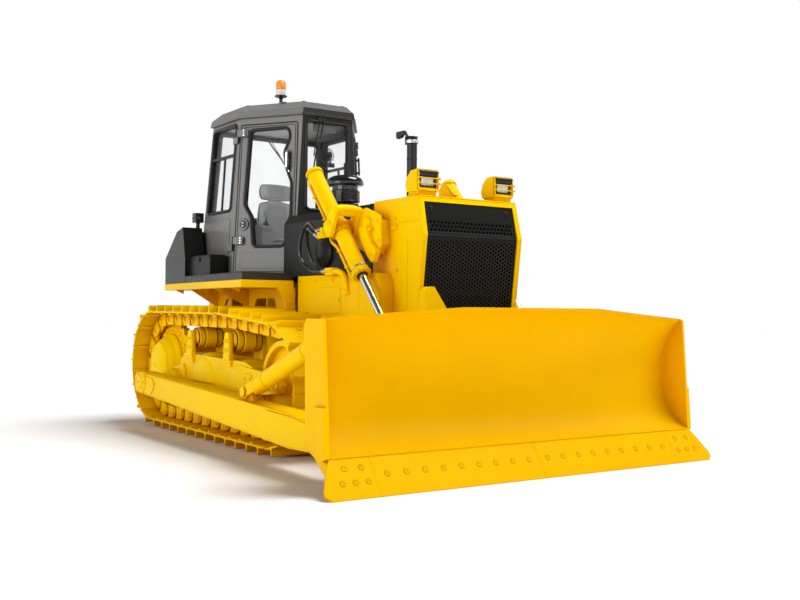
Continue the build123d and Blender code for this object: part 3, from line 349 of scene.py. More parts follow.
def core_mat():
    # radiator core: close upright fins and tube rows
    m, nt, out = tree("radiator_fins")
    b = nt.nodes.new("ShaderNodeBsdfPrincipled")
    nt.links.new(b.outputs["BSDF"], out.inputs["Surface"])
    co = nt.nodes.new("ShaderNodeTexCoord").outputs["Object"]
    w = nt.nodes.new("ShaderNodeTexWave")
    w.bands_direction = "Y"
    w.inputs["Scale"].default_value = 26.0
    nt.links.new(co, w.inputs["Vector"])
    v = nt.nodes.new("ShaderNodeTexWave")
    v.bands_direction = "Z"
    v.inputs["Scale"].default_value = 60.0
    nt.links.new(co, v.inputs["Vector"])
    mul = nt.nodes.new("ShaderNodeMath")
    mul.operation = "MULTIPLY"
    nt.links.new(w.outputs["Fac"], mul.inputs[0])
    nt.links.new(v.outputs["Fac"], mul.inputs[1])
    c = blend_col(nt, mul.outputs[0], (0.0008, 0.0008, 0.0008), (0.0045, 0.0044, 0.0043))
    nt.links.new(c, b.inputs["Base Color"])
    b.inputs["Specular IOR Level"].default_value = 0.06
    nt.links.new(spread(nt, noise(nt, co, 20.0), 0.5, 0.7), b.inputs["Roughness"])
    bump = nt.nodes.new("ShaderNodeBump")
    bump.inputs["Strength"].default_value = 0.8
    bump.inputs["Distance"].default_value = 0.004
    nt.links.new(mul.outputs[0], bump.inputs["Height"])
    nt.links.new(bump.outputs["Normal"], b.inputs["Normal"])
    return m


CORE = core_mat()


def reflector_mat():
    m, nt, out = tree("lamp_reflector")
    b = nt.nodes.new("ShaderNodeBsdfPrincipled")
    nt.links.new(b.outputs["BSDF"], out.inputs["Surface"])
    co = nt.nodes.new("ShaderNodeTexCoord").outputs["Object"]
    w = nt.nodes.new("ShaderNodeTexWave")
    w.bands_direction = "Y"
    w.inputs["Scale"].default_value = 34.0
    nt.links.new(co, w.inputs["Vector"])
    c = blend_col(nt, w.outputs["Fac"], (0.80, 0.80, 0.77), (1.0, 1.0, 0.97))
    nt.links.new(c, b.inputs["Base Color"])
    nt.links.new(spread(nt, noise(nt, co, 40.0), 0.12, 0.3), b.inputs["Roughness"])
    bump = nt.nodes.new("ShaderNodeBump")
    bump.inputs["Strength"].default_value = 0.6
    bump.inputs["Distance"].default_value = 0.002
    nt.links.new(w.outputs["Fac"], bump.inputs["Height"])
    nt.links.new(bump.outputs["Normal"], b.inputs["Normal"])
    b.inputs["Metallic"].default_value = 0.15
    return m


REFLECTOR = reflector_mat()

RED_LENS = solid_mat("red_lens", (0.55, 0.012, 0.008), (0.2, 0.004, 0.003), rough=(0.1, 0.2), spec=0.5, coat=0.6, vary=0.1, ao=0, grain=220, grain_h=0.001, grain_s=0.3)

FINISH = {
    "right_track": TRACK_YELLOW, "left_track": TRACK_YELLOW, "sprockets": TRACK_YELLOW, "final_drives": YELLOW_CAST, "idlers": TRACK_YELLOW,
    "rollers": TRACK_YELLOW, "track_frames": YELLOW_CAST, "main_frame": YELLOW, "rear_case": YELLOW_CAST, "drawbar": YELLOW_CAST,
    "engine_block": CAST_IRON, "radiator_guard": YELLOW, "grille": CHARCOAL, "radiator": CORE, "hood": HOOD_GREY, "lower_panels": YELLOW,
    "platform": YELLOW, "deck": TREAD, "rear_tank": HOOD_GREY, "cab_frame": CAB_GREY, "cab_glass": GLASS, "cab_roof": ROOF_GREY,
    "right_door": CAB_GREY, "left_door": CAB_GREY, "right_door_glass": GLASS, "left_door_glass": GLASS, "seat": SEAT_CLOTH,
    "console": PLASTIC_GREY, "beacon": AMBER, "front_lamps": YELLOW, "lamp_lenses": LAMP_GLASS, "rear_lamps": BLACK_PLASTIC,
    "exhaust_stack": BLACK, "rain_cap": BLACK, "precleaner": BLACK_PLASTIC, "cyl_yokes": YELLOW_CAST, "right_lift_barrel": YELLOW,
    "left_lift_barrel": YELLOW, "right_lift_rod": CHROME, "left_lift_rod": CHROME, "push_arms": YELLOW, "braces": YELLOW,
    "moldboard": BLADE_YELLOW, "cutting_edges": BLADE_YELLOW, "end_bits": BLADE_YELLOW,
}
for name, obj in nodes.items():
    obj.data.materials.clear()
    obj.data.materials.append(FINISH[name])


# ------------------------------------------------------------------ mesh kit (millimetres)
def square_to(n):
    n = Vector(n).normalized()
    a = Vector((0, 0, 1)) if abs(n.z) < 0.9 else Vector((1, 0, 0))
    u = a.cross(n).normalized()
    return u, n.cross(u), n


def round_poly(pts, r, seg=5):
    # closed 2-D polygon with rounded corners
    out = []
    n = len(pts)
    for i in range(n):
        p, a, b = Vector(pts[i]), Vector(pts[i - 1]), Vector(pts[(i + 1) % n])
        d0, d1 = (a - p), (b - p)
        l0, l1 = d0.length, d1.length
        d0, d1 = d0 / l0, d1 / l1
        ang = math.acos(max(-1, min(1, d0.dot(d1))))
        if ang > math.pi - 0.02:
            out.append((p.x, p.y))
            continue
        ri = r[i] if isinstance(r, (list, tuple)) else r
        cut = min(ri / math.tan(ang / 2), 0.58 * l0, 0.58 * l1) if ri is not r else min(r / math.tan(ang / 2), 0.48 * l0, 0.48 * l1)
        rr = cut * math.tan(ang / 2)
        bis = (d0 + d1).normalized()
        c = p + bis * (rr / math.sin(ang / 2))
        s, e = p + d0 * cut - c, p + d1 * cut - c
        a0 = math.atan2(s.y, s.x)
        da = math.atan2(e.y, e.x) - a0
        while da > math.pi:
            da -= 2 * math.pi
        while da < -math.pi:
            da += 2 * math.pi
        for k in range(seg + 1):
            t = a0 + da * k / seg
            out.append((c.x + rr * math.cos(t), c.y + rr * math.sin(t)))
    return out


class Kit:
    def __init__(self):
        self.v, self.f, self.m = [], [], []

    def add(self, verts, faces, mat=0):
        o = len(self.v)
        self.v += [tuple(p) for p in verts]
        self.f += [tuple(i + o for i in f) for f in faces]
        self.m += [mat] * len(faces)

    def prism(self, poly, at, d0, d1, mat=0, cham=0.0):
        # closed polygon pushed from d0 to d1; at(u, v, w) gives the place in space
        n = len(poly)
        rings = [(d0, 0.0), (d1, 0.0)]
        if cham:
            s = 1 if d1 > d0 else -1
            rings = [(d0, cham), (d0 + s * cham, 0.0), (d1 - s * cham, 0.0), (d1, cham)]
        cx = sum(p[0] for p in poly) / n
        cy = sum(p[1] for p in poly) / n
        verts = []
        for d, inset in rings:
            for (x, y) in poly:
                if inset:
                    l = math.hypot(x - cx, y - cy) or 1.0
                    k = max(0.0, 1 - inset / l)
                    verts.append(at(cx + (x - cx) * k, cy + (y - cy) * k, d))
                else:
                    verts.append(at(x, y, d))
        faces = []
        for r in range(len(rings) - 1):
            for i in range(n):
                j = (i + 1) % n
                faces.append((r * n + i, r * n + j, (r + 1) * n + j, (r + 1) * n + i))
        faces.append(tuple(range(n))[::-1])
        faces.append(tuple((len(rings) - 1) * n + i for i in range(n)))
        self.add(verts, faces, mat)

    def box(self, lo, hi, mat=0, cham=2.0, rot=None, pivot=None):
        lo, hi = Vector(lo), Vector(hi)
        c, h = (lo + hi) / 2, (hi - lo) / 2
        h = Vector((abs(h.x), abs(h.y), abs(h.z)))
        k = min(cham, 0.45 * min(h))
        bm = bmesh.new()
        bmesh.ops.create_cube(bm, size=2.0)
        for v in bm.verts:
            v.co = Vector((v.co.x * h.x, v.co.y * h.y, v.co.z * h.z))
        if k > 0:
            bmesh.ops.bevel(bm, geom=list(bm.edges), offset=k, segments=2, profile=0.6, affect="EDGES")
        bm.verts.index_update()
        vs = []
        for v in bm.verts:
            p = v.co + c
            if rot is not None:
                q = Vector(pivot) if pivot is not None else c
                p = rot @ (p - q) + q
            vs.append(p)
        self.add(vs, [[v.index for v in f.verts] for f in bm.faces], mat)
        bm.free()

    def lathe(self, o, axis, prof, n=28, mat=0):
        # (distance along the axis, radius) points spun about the axis
        o = Vector(o)
        u, v, w = square_to(axis)
        verts, faces, rows = [], [], []
        for d, r in prof:
            if r < 1e-6:
                rows.append([len(verts)])
                verts.append(o + w * d)
            else:
                rows.append(list(range(len(verts), len(verts) + n)))
                for k in range(n):
                    a = 2 * math.pi * k / n
                    verts.append(o + w * d + (u * math.cos(a) + v * math.sin(a)) * r)
        for a, b in zip(rows, rows[1:]):
            for k in range(n):
                j = (k + 1) % n
                if len(a) == 1 and len(b) == 1:
                    continue
                if len(a) == 1:
                    faces.append((a[0], b[j], b[k]))
                elif len(b) == 1:
                    faces.append((a[k], a[j], b[0]))
                else:
                    faces.append((a[k], a[j], b[j], b[k]))
        for end in (rows[0], rows[-1]):
            if len(end) > 1:
                faces.append(tuple(end))
        self.add(verts, faces, mat)

    def rod(self, a, b, r, n=20, mat=0, cham=1.5):
        a, b = Vector(a), Vector(b)
        l = (b - a).length
        c = min(cham, r * 0.4, l * 0.3)
        self.lathe(a, b - a, [(0, 0), (0, r - c), (c, r), (l - c, r), (l, r - c), (l, 0)], n, mat)

    def ring(self, o, axis, r_in, r_out, w, n=36, mat=0):
        c = min(1.5, (r_out - r_in) * 0.3, w * 0.3)
        prof = [(-w / 2, r_in), (-w / 2, r_out - c), (-w / 2 + c, r_out), (w / 2 - c, r_out), (w / 2, r_out - c), (w / 2, r_in), (-w / 2, r_in)]
        o = Vector(o)
        u, v, x = square_to(axis)
        verts, faces = [], []
        m = len(prof) - 1
        for d, r in prof[:-1]:
            for k in range(n):
                a = 2 * math.pi * k / n
                verts.append(o + x * d + (u * math.cos(a) + v * math.sin(a)) * r)
        for i in range(m):
            for k in range(n):
                j = (k + 1) % n
                p, q = i * n, ((i + 1) % m) * n
                faces.append((p + k, p + j, q + j, q + k))
        self.add(verts, faces, mat)

    def tube(self, pts, r, n=10, mat=0, closed=False, flat=1.0):
        pts = [Vector(p) for p in pts]
        m = len(pts)
        tang = []
        for i in range(m):
            a = pts[i - 1] if (closed or i > 0) else pts[i]
            b = pts[(i + 1) % m] if (closed or i < m - 1) else pts[i]
            tang.append((b - a).normalized())
        u = square_to(tang[0])[0]
        verts, faces = [], []
        for i in range(m):
            t = tang[i]
            u = (u - t * u.dot(t)).normalized()
            v = t.cross(u)
            for k in range(n):
                a = 2 * math.pi * k / n
                verts.append(pts[i] + u * (r * math.cos(a)) + v * (r * flat * math.sin(a)))
        for i in range(m if closed else m - 1):
            p, q = i * n, ((i + 1) % m) * n
            for k in range(n):
                j = (k + 1) % n
                faces.append((p + k, p + j, q + j, q + k))
        if not closed:
            faces.append(tuple(range(n))[::-1])
            faces.append(tuple((m - 1) * n + k for k in range(n)))
        self.add(verts, faces, mat)

    def bolt(self, p, n, af=24.0, h=12.0, mat=0, washer=True, round_head=False):
        p = Vector(p)
        u, v, w = square_to(n)
        if washer:
            self.lathe(p, w, [(-0.5, 0), (-0.5, af * 0.78), (2.2, af * 0.78), (3.0, af * 0.72), (3.0, 0)], 18, mat)
        if round_head:
            r = af * 0.62
            self.lathe(p, w, [(0, 0), (0, r), (h * 0.45, r), (h * 0.85, r * 0.75), (h, r * 0.35), (h, 0)], 18, mat)
            return
        r = af / math.sqrt(3)
        rings = [(0.0, r), (h * 0.82, r), (h, r * 0.86)]
        verts, faces = [], []
        for d, rr in rings:
            for k in range(6):
                a = math.pi / 3 * k + 0.3
                verts.append(p + w * d + (u * math.cos(a) + v * math.sin(a)) * rr)
        for i in range(2):
            for k in range(6):
                j = (k + 1) % 6
                faces.append((i * 6 + k, i * 6 + j, (i + 1) * 6 + j, (i + 1) * 6 + k))
        faces.append(tuple(range(6))[::-1])
        faces.append(tuple(12 + k for k in range(6)))
        self.add(verts, faces, mat)

    def make(self, name, mats, body, angle=38.0, replaces=()):
        me = bpy.data.meshes.new(name)
        me.from_pydata([(x * 0.001, y * 0.001, z * 0.001) for x, y, z in self.v], [], self.f)
        for m in (mats if isinstance(mats, (list, tuple)) else [mats]):
            me.materials.append(m)
        me.polygons.foreach_set("material_index", self.m)
        bm = bmesh.new()
        bm.from_mesh(me)
        bmesh.ops.recalc_face_normals(bm, faces=bm.faces)
        bm.to_mesh(me)
        bm.free()
        me.shade_smooth()
        me.set_sharp_from_angle(angle=math.radians(angle))
        ob = bpy.data.objects.new(name, me)
        scene.collection.objects.link(ob)
        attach(ob, body)
        if replaces:
            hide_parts(*replaces)
        return ob


def at_xz(u, v, w):
    return (u, w, v)


def at_yz(u, v, w):
    return (w, u, v)


def at_xy(u, v, w):
    return (u, v, w)


def smooth_path(pts, per=8):
    # Catmull-Rom through the points
    pts = [Vector(p) for p in pts]
    q = [2 * pts[0] - pts[1]] + pts + [2 * pts[-1] - pts[-2]]
    out = []
    for i in range(1, len(q) - 2):
        p0, p1, p2, p3 = q[i - 1], q[i], q[i + 1], q[i + 2]
        for k in range(per):
            t = k / per
            out.append(0.5 * ((2 * p1) + (p2 - p0) * t + (2 * p0 - 5 * p1 + 4 * p2 - p3) * t * t + (3 * p1 - p0 - 3 * p2 + p3) * t ** 3))
    out.append(pts[-1])
    return out


# ------------------------------------------------------------------ tracks
SHOES = 37
GROUSER = 134.5
TY = 940.0
CIRC = [(-1710.0, 575.5, 440.5), (-150.0, 918.0, 90.0), (720.0, 537.5, 402.5)]


def tangent_angle(a, b):
    dx, dz = b[0] - a[0], b[1] - a[1]
    return math.atan2(dz, dx) + math.acos((a[2] - b[2]) / math.hypot(dx, dz))


N_REAR, N_FRONT = tangent_angle(CIRC[0], CIRC[1]), tangent_angle(CIRC[1], CIRC[2])


def rim(c, a):
    return (c[0] + c[2] * math.cos(a), c[1] + c[2] * math.sin(a))


LOW = 1.5 * math.pi
RUNS = [
    ("line", rim(CIRC[2], LOW), rim(CIRC[0], LOW), LOW),
    ("arc", CIRC[0], LOW, N_REAR),
    ("line", rim(CIRC[0], N_REAR), rim(CIRC[1], N_REAR), N_REAR),
    ("arc", CIRC[1], N_REAR, N_FRONT),
    ("line", rim(CIRC[1], N_FRONT), rim(CIRC[2], N_FRONT), N_FRONT),
    ("arc", CIRC[2], N_FRONT, -0.5 * math.pi),
]
LENS = [math.dist(r[1], r[2]) if r[0] == "line" else abs(r[2] - r[3]) * r[1][2] for r in RUNS]
LOOP = sum(LENS)


def station(d):
    d %= LOOP
    for r, ln in zip(RUNS, LENS):
        if d <= ln:
            t = d / ln
            if r[0] == "line":
                return (r[1][0] + (r[2][0] - r[1][0]) * t, r[1][1] + (r[2][1] - r[1][1]) * t), r[3]
            a = r[2] + (r[3] - r[2]) * t
            return rim(r[1], a), a
        d -= ln
    return rim(CIRC[2], LOW), LOW


PITCH = LOOP / SHOES
# shoe section: (along the track, outward from the pin line)
SHOE = [(-140, 46), (-112, 45), (-92, 60), (86, 62), (100, 66), (112, 69), (117, 73), (115, 77.5), (88, 78), (20, 78.5), (12, 84), (9, 96), (7, 130),
        (4, GROUSER), (-4, GROUSER), (-7, 130), (-10, 96), (-14, 84), (-24, 78.5), (-86, 76), (-104, 66), (-116, 60), (-139, 57)]


def track(sgn, name, node_name):
    k = Kit()
    for i in range(SHOES):
        (px, pz), a = station((i + 0.5) * PITCH)
        n, t = (math.cos(a), math.sin(a)), (-math.sin(a), math.cos(a))

        def at(u, v, w, px=px, pz=pz, n=n, t=t):
            return (px + t[0] * u + n[0] * v, sgn * w, pz + t[1] * u + n[1] * v)

        # one grouser shoe, its ends drawn in a little
        m = len(SHOE)
        rows = []
        for w, drop, pull in ((TY - 255, 5.0, 6.0), (TY - 249, 0.0, 0.0), (TY + 249, 0.0, 0.0), (TY + 255, 5.0, 6.0)):
            row = []
            for (u, v) in SHOE:
                uu = u - math.copysign(min(pull, abs(u)), u) if abs(u) > 30 else u
                vv = v - drop if v > 110 else v
                row.append(at(uu, vv, w))
            rows.append(row)
        verts = [p for row in rows for p in row]
        faces = []
        for r in range(3):
            for j in range(m):
                q = (j + 1) % m
                faces.append((r * m + j, r * m + q, (r + 1) * m + q, (r + 1) * m + j))
        faces.append(tuple(range(m)))
        faces.append(tuple(3 * m + j for j in range(m)))
        k.add(verts, faces)
        # shoe bolts outside
        for u in (-52.0, 52.0):
            for w in (TY - 78, TY + 78):
                k.bolt(at(u, 78, w), (n[0], 0, n[1]), af=30, h=13, washer=False)
        # link chain between this joint and the next
        (ax, az), a0 = station(i * PITCH)
        (bx, bz), a1 = station((i + 1) * PITCH)
        dx, dz = bx - ax, bz - az
        ln = math.hypot(dx, dz)
        tx, tz = dx / ln, dz / ln
        nx, nz = tz, -tx
        if nx * n[0] + nz * n[1] < 0:
            nx, nz = -nx, -nz

        def al(u, v, w, ax=ax, az=az, tx=tx, tz=tz, nx=nx, nz=nz):
            return (ax + tx * u + nx * v, sgn * w, az + tz * u + nz * v)

        front = [(46 * math.cos(q), 46 * math.sin(q)) for q in [math.radians(d) for d in range(90, 271, 20)]]
        half_a = front + [(6, -53), (72, -54), (120, -53), (126, -40), (124, 18), (134, 60), (40, 62), (12, 52)]
        half_b = [(ln - x, y) for x, y in half_a]
        for s in (-1, 1):
            y_out, y_mid, y_in = TY + s * 100, TY + s * 78, TY + s * 56
            k.prism(half_a, al, y_mid - s * 1.5, y_out, cham=2.5)
            k.prism(half_b, al, y_in, y_mid + s * 1.5, cham=2.5)
            # pin boss and pin end
            k.lathe(al(0, 0, y_out), (0, sgn * s, 0), [(-3, 0), (-3, 34), (4, 33), (5, 24), (10, 23), (12, 20), (12, 9), (8, 6), (8, 0)], 18)
            # window in the link side
            k.prism([(78 + 20 * math.cos(q), 16 + 14 * math.sin(q)) for q in [math.radians(d) for d in range(0, 360, 30)]], al, y_out - s * 1, y_out + s * 1.2)
        k.lathe(al(0, 0, TY - 56), (0, sgn, 0), [(0, 0), (0, 34), (112, 34), (112, 0)], 18)
    return k.make(name, [TRACK_YELLOW], "chassis", replaces=(node_name,))


track(-1, "track_chain_right", "right_track")
track(1, "track_chain_left", "left_track")

# ------------------------------------------------------------------ running gear details
for sgn, side in ((-1, "right"), (1, "left")):
    k = Kit()
    # sprocket: bolted tooth segments outside
    for i in range(27):
        a = 2 * math.pi * (i + 0.5) / 27
        p = (-1710 + 352 * math.cos(a), sgn * 970, 575.5 + 352 * math.sin(a))
        k.bolt(p, (0, sgn, 0), af=30, h=16)
    for i in range(9):
        a = 2 * math.pi * i / 9
        c, s = math.cos(a), math.sin(a)
        k.prism([(-1710 + 318 * c - 3 * s, 575.5 + 318 * s + 3 * c), (-1710 + 404 * c - 3 * s, 575.5 + 404 * s + 3 * c),
                 (-1710 + 404 * c + 3 * s, 575.5 + 404 * s - 3 * c), (-1710 + 318 * c + 3 * s, 575.5 + 318 * s - 3 * c)], at_xz, sgn * 968, sgn * 971.5)
    k.ring((-1710, sgn * 971, 575.5), (0, 1, 0), 300, 322, 12, 64)
    # final drive: flange bolts, hub cover, plug
    for i in range(24):
        a = 2 * math.pi * (i + 0.5) / 24
        k.bolt((-1710 + 289 * math.cos(a), sgn * 1003, 575.5 + 289 * math.sin(a)), (0, sgn, 0), af=22, h=12)
    k.lathe((-1710, sgn * 1010, 575.5), (0, sgn, 0), [(0, 0), (0, 283), (6, 281), (30, 272), (62, 252), (92, 222), (116, 182), (132, 138), (140, 92), (143, 46), (144, 0)], 64)
    k.lathe((-1710, sgn * 1150, 575.5), (0, sgn, 0), [(0, 0), (0, 30), (6, 29), (10, 22), (10, 0)], 6)
    # inner case ring towards the hull
    k.ring((-1710, sgn * 560, 575.5), (0, 1, 0), 236, 262, 30, 48)
    # idler: hub cap, rim rings, support block
    for face in (1, -1):
        k.ring((720, sgn * (940 + face * 41), 537.5), (0, 1, 0), 150, 172, 8, 48)
        k.lathe((720, sgn * (940 + face * 36), 537.5), (0, sgn * face, 0), [(0, 0), (0, 296), (4, 294), (10, 262), (22, 190), (26, 120), (27, 0)], 64)
    k.box((640, sgn * 1107, 490), (800, sgn * 1124, 590), cham=8)
    for x in (662, 778):
        for z in (508, 572):
            k.bolt((x, sgn * 1124, z), (0, sgn, 0), af=26, h=13)
    k.lathe((720, sgn * 1123, 538), (0, sgn, 0), [(0, 0), (0, 34), (8, 33), (12, 26), (12, 0)], 24)
    # carrier rollers: black rings in the grooves beside the flanges and behind the end cap, in part the seals and in
    # part painted shade in the grooves
    for x, zc in ((-950, 860), (-150, 856)):
        for w in (-112, -56, 56, 112):
            k.ring((x, sgn * (TY + w), zc), (0, 1, 0), 78, 95.2 if abs(w) < 100 else 86, 9, 44, 1)
    # carrier rollers: end caps, brackets, clamp bolts
    for x, z in ((-950.0, 860.0), (-150.0, 856.0)):
        k.lathe((x, sgn * 1056, z), (0, sgn, 0), [(-4, 0), (-4, 58), (6, 56), (10, 46), (12, 30), (18, 27), (18, 0)], 28)
        for i in range(4):
            a = math.pi / 4 + i * math.pi / 2
            k.bolt((x + 40 * math.cos(a), sgn * 1063, z + 40 * math.sin(a)), (0, sgn, 0), af=15, h=8, washer=False)
        for yy in (868, 1000):
            k.ring((x, sgn * yy, z), (0, 1, 0), 62, 84, 14, 36, 1)
        k.box((x - 62, sgn * 1072, 690), (x + 62, sgn * 1122, 742), cham=8)
        k.prism(round_poly([(x - 58, 735), (x + 58, 735), (x + 46, 880), (x + 30, 925), (x - 30, 925), (x - 46, 880)], 14), at_xz, sgn * 1078, sgn * 1118, cham=5)
        for zz in (775, 850):
            k.bolt((x - 22, sgn * 1118, zz), (0, sgn, 0), af=24, h=12)
            k.bolt((x + 22, sgn * 1118, zz), (0, sgn, 0), af=24, h=12)
        k.box((x - 88, sgn * 1070, 668), (x + 88, sgn * 1126, 694), cham=5)
    # recoil housing: two rounded covers between the posts
    for cx, rx, rz, z0 in ((-700.0, 300.0, 258.0, 478.0), (60.0, 270.0, 236.0, 470.0)):
        verts, faces = [], []
        nu, nv = 36, 14
        for i in range(nu + 1):
            a = math.pi * i / nu
            for j in range(nv + 1):
                w = -1 + 2 * j / nv
                lift = (1 - abs(w) ** 2.6) ** 0.42 if abs(w) < 1 else 0.0
                q = 0.62 + 0.38 * lift
                verts.append((cx + rx * q * math.cos(a), sgn * (972 + w * 142), z0 + rz * q * math.sin(a)))
        for i in range(nu):
            for j in range(nv):
                p = i * (nv + 1) + j
                faces.append((p, p + 1, p + nv + 2, p + nv + 1))
        faces.append(tuple(i * (nv + 1) for i in range(nu + 1)))
        faces.append(tuple(i * (nv + 1) + nv for i in range(nu + 1)))
        faces.append(tuple([j for j in range(nv + 1)] + [nu * (nv + 1) + j for j in range(nv, -1, -1)]))
        k.add(verts, faces)
    k.lathe((-360, sgn * 1062, 640), (0, sgn, 0.5), [(0, 0), (0, 44), (18, 42), (26, 30), (26, 0)], 24)
    # roller guards: bolt rows and a stiffening strip
    for x in (-1262, -946, -630, -314, 2, 318):
        k.lathe((x, sgn * 1106, 290), (0, sgn, 0), [(-2, 0), (-2, 44), (5, 42), (8, 34), (8, 20), (4, 16), (4, 0)], 26)
    for x in range(-1320, 381, 158):
        k.bolt((x, sgn * 1108, 420), (0, sgn, 0), af=24, h=13)
    k.box((-1360, sgn * 1106, 446), (395, sgn * 1114, 464), cham=2)
    # tensioner port cover on the fork
    k.prism(round_poly([(200, 520), (330, 520), (330, 600), (200, 606)], 16), at_xz, sgn * 1107, sgn * 1116, cham=2)
    for x in (216, 314):
        k.bolt((x, sgn * 1116, 560), (0, sgn, 0), af=18, h=9)
    k.make("running_gear_fittings_" + side, [YELLOW_CAST, BLACK], "chassis")

# ------------------------------------------------------------------ blade
E_DIR = Vector((2572.0 - 2413.0, 0, -226.0)).normalized()
E_UP = -E_DIR
E_N = Vector((-E_DIR.z, 0, E_DIR.x))
E_LEN = math.hypot(2572.0 - 2413.0, 226.0)


def edge_at(y, up, off=0.0):
    return Vector((2572.0, y, 0.0)) + E_UP * up + E_N * off


k = Kit()


def plow(y, up, r=17.0):
    # flush plow bolt: a dark yellow ring round the head as painted shade, and a domed head
    p = edge_at(y, up)
    k.lathe(p, E_N, [(-1, 0), (-1, r + 5), (0.6, r + 4.5), (0.6, 0)], 28, 1)
    k.lathe(p, E_N, [(0.2, 0), (0.2, r), (2.2, r - 1.5), (3.6, r - 6), (4.0, 7.5), (1.6, 6.5), (1.6, 0)], 28)


for s in (-1, 1):
    for i in range(9):
        plow(s * (85 + i * 143.0), 150.0)
    for y in (1378, 1470, 1560):
        plow(s * y, 108.0, 16)
    for y in (1400, 1520):
        plow(s * y, 205.0, 16)
    # thin gap line between edge and end bit
    k.prism([(s * 1319 - 2, 2), (s * 1319 + 2, 2), (s * 1319 + 2, E_LEN - 6), (s * 1319 - 2, E_LEN - 6)], edge_at, -4, 0.6)
k.make("edge_bolts", [BLADE_YELLOW, BOLT_SHADE], "dozer_blade")


def circle_3(p, q, r):
    ax, ay, bx, by, cx, cy = *p, *q, *r
    d = 2 * (ax * (by - cy) + bx * (cy - ay) + cx * (ay - by))
    ux = ((ax * ax + ay * ay) * (by - cy) + (bx * bx + by * by) * (cy - ay) + (cx * cx + cy * cy) * (ay - by)) / d
    uy = ((ax * ax + ay * ay) * (cx - bx) + (bx * bx + by * by) * (ax - cx) + (cx * cx + cy * cy) * (bx - ax)) / d
    return ux, uy, math.hypot(ax - ux, ay - uy)


FCX, FCZ, FCR = circle_3((2413.0, 226.0), (2152.0, 660.0), (2337.0, 1068.0))


def face_x(z, back=0.0):
    r = FCR + back
    return FCX - math.sqrt(r * r - (z - FCZ) ** 2)


k = Kit()
for s in (-1, 1):
    # weld bead between the curved plate and its end plate
    pts = []
    for i in range(40):
        z = 232 + (1058 - 232) * i / 39
        pts.append((face_x(z) + 3, s * 1592, z))
    k.tube(pts, 7, 8)
    # bead under the end plate wear strip
    k.tube([(2392, s * 1632, 530), (2290, s * 1632, 530)], 4, 6)
    k.tube([(2290, s * 1616, 530), (2310, s * 1616, 206)], 5, 6)
# foot seam under the curved plate
k.tube([(2414, -1590, 228), (2414, 1590, 228)], 5, 8)
# top rail: a rounded bar along the sloping top edge, following its two bends
line = [(-1611, 1068.5), (-600, 1142.5), (600, 1142.5), (1611, 1068.5)]
pts = []
for (y0, z0), (y1, z1) in zip(line, line[1:]):
    for i in range(12):
        t = i / 12
        y, z = y0 + (y1 - y0) * t, z0 + (z1 - z0) * t
        pts.append((face_x(z - 9) - 10, y, z - 9))
pts.append((face_x(1059.5) - 10, 1611, 1059.5))
k.tube(pts, 12, 10)
# beads along ribs and beams behind
for y in (-1120, -340, 0, 340, 1120):
    for d in (-13, 13):
        k.tube([(2078, y + d, 1000), (2083, y + d, 560), (2180, y + d, 305)], 5, 6)
for z, x in ((1031, 2075), (904, 2075)):
    k.tube([(x, -1590, z), (x, 1590, z)], 5, 6)
# lug pins and their keeper plates
for s in (-1, 1):
    for y in (s * 1350 - 98, s * 1350 + 98):
        d = 1 if y > s * 1350 else -1
        k.lathe((1952, y + d * 14, 285), (0, d, 0), [(-4, 0), (-4, 62), (6, 60), (10, 50), (14, 40), (14, 0)], 30)
        k.box((1912, y + d * 26, 318), (1992, y + d * 36, 342), cham=3)
        k.bolt((1926, y + d * 36, 330), (0, d, 0), af=18, h=8)
        k.bolt((1978, y + d * 36, 330), (0, d, 0), af=18, h=8)
    for y, d in ((s * 670 - 77, -1), (s * 670 + 77, 1)):
        k.lathe((1850, y, 730), (0, d, 0), [(-2, 0), (-2, 58), (5, 56), (8, 44), (16, 40), (16, 0)], 30)
        for i in range(3):
            a = i * 2 * math.pi / 3 + 0.5
            k.bolt((1850 + 42 * math.cos(a), y + d * 5, 730 + 42 * math.sin(a)), (0, d, 0), af=16, h=8, washer=False)
k.make("blade_welds_and_pins", [BLADE_YELLOW], "dozer_blade")

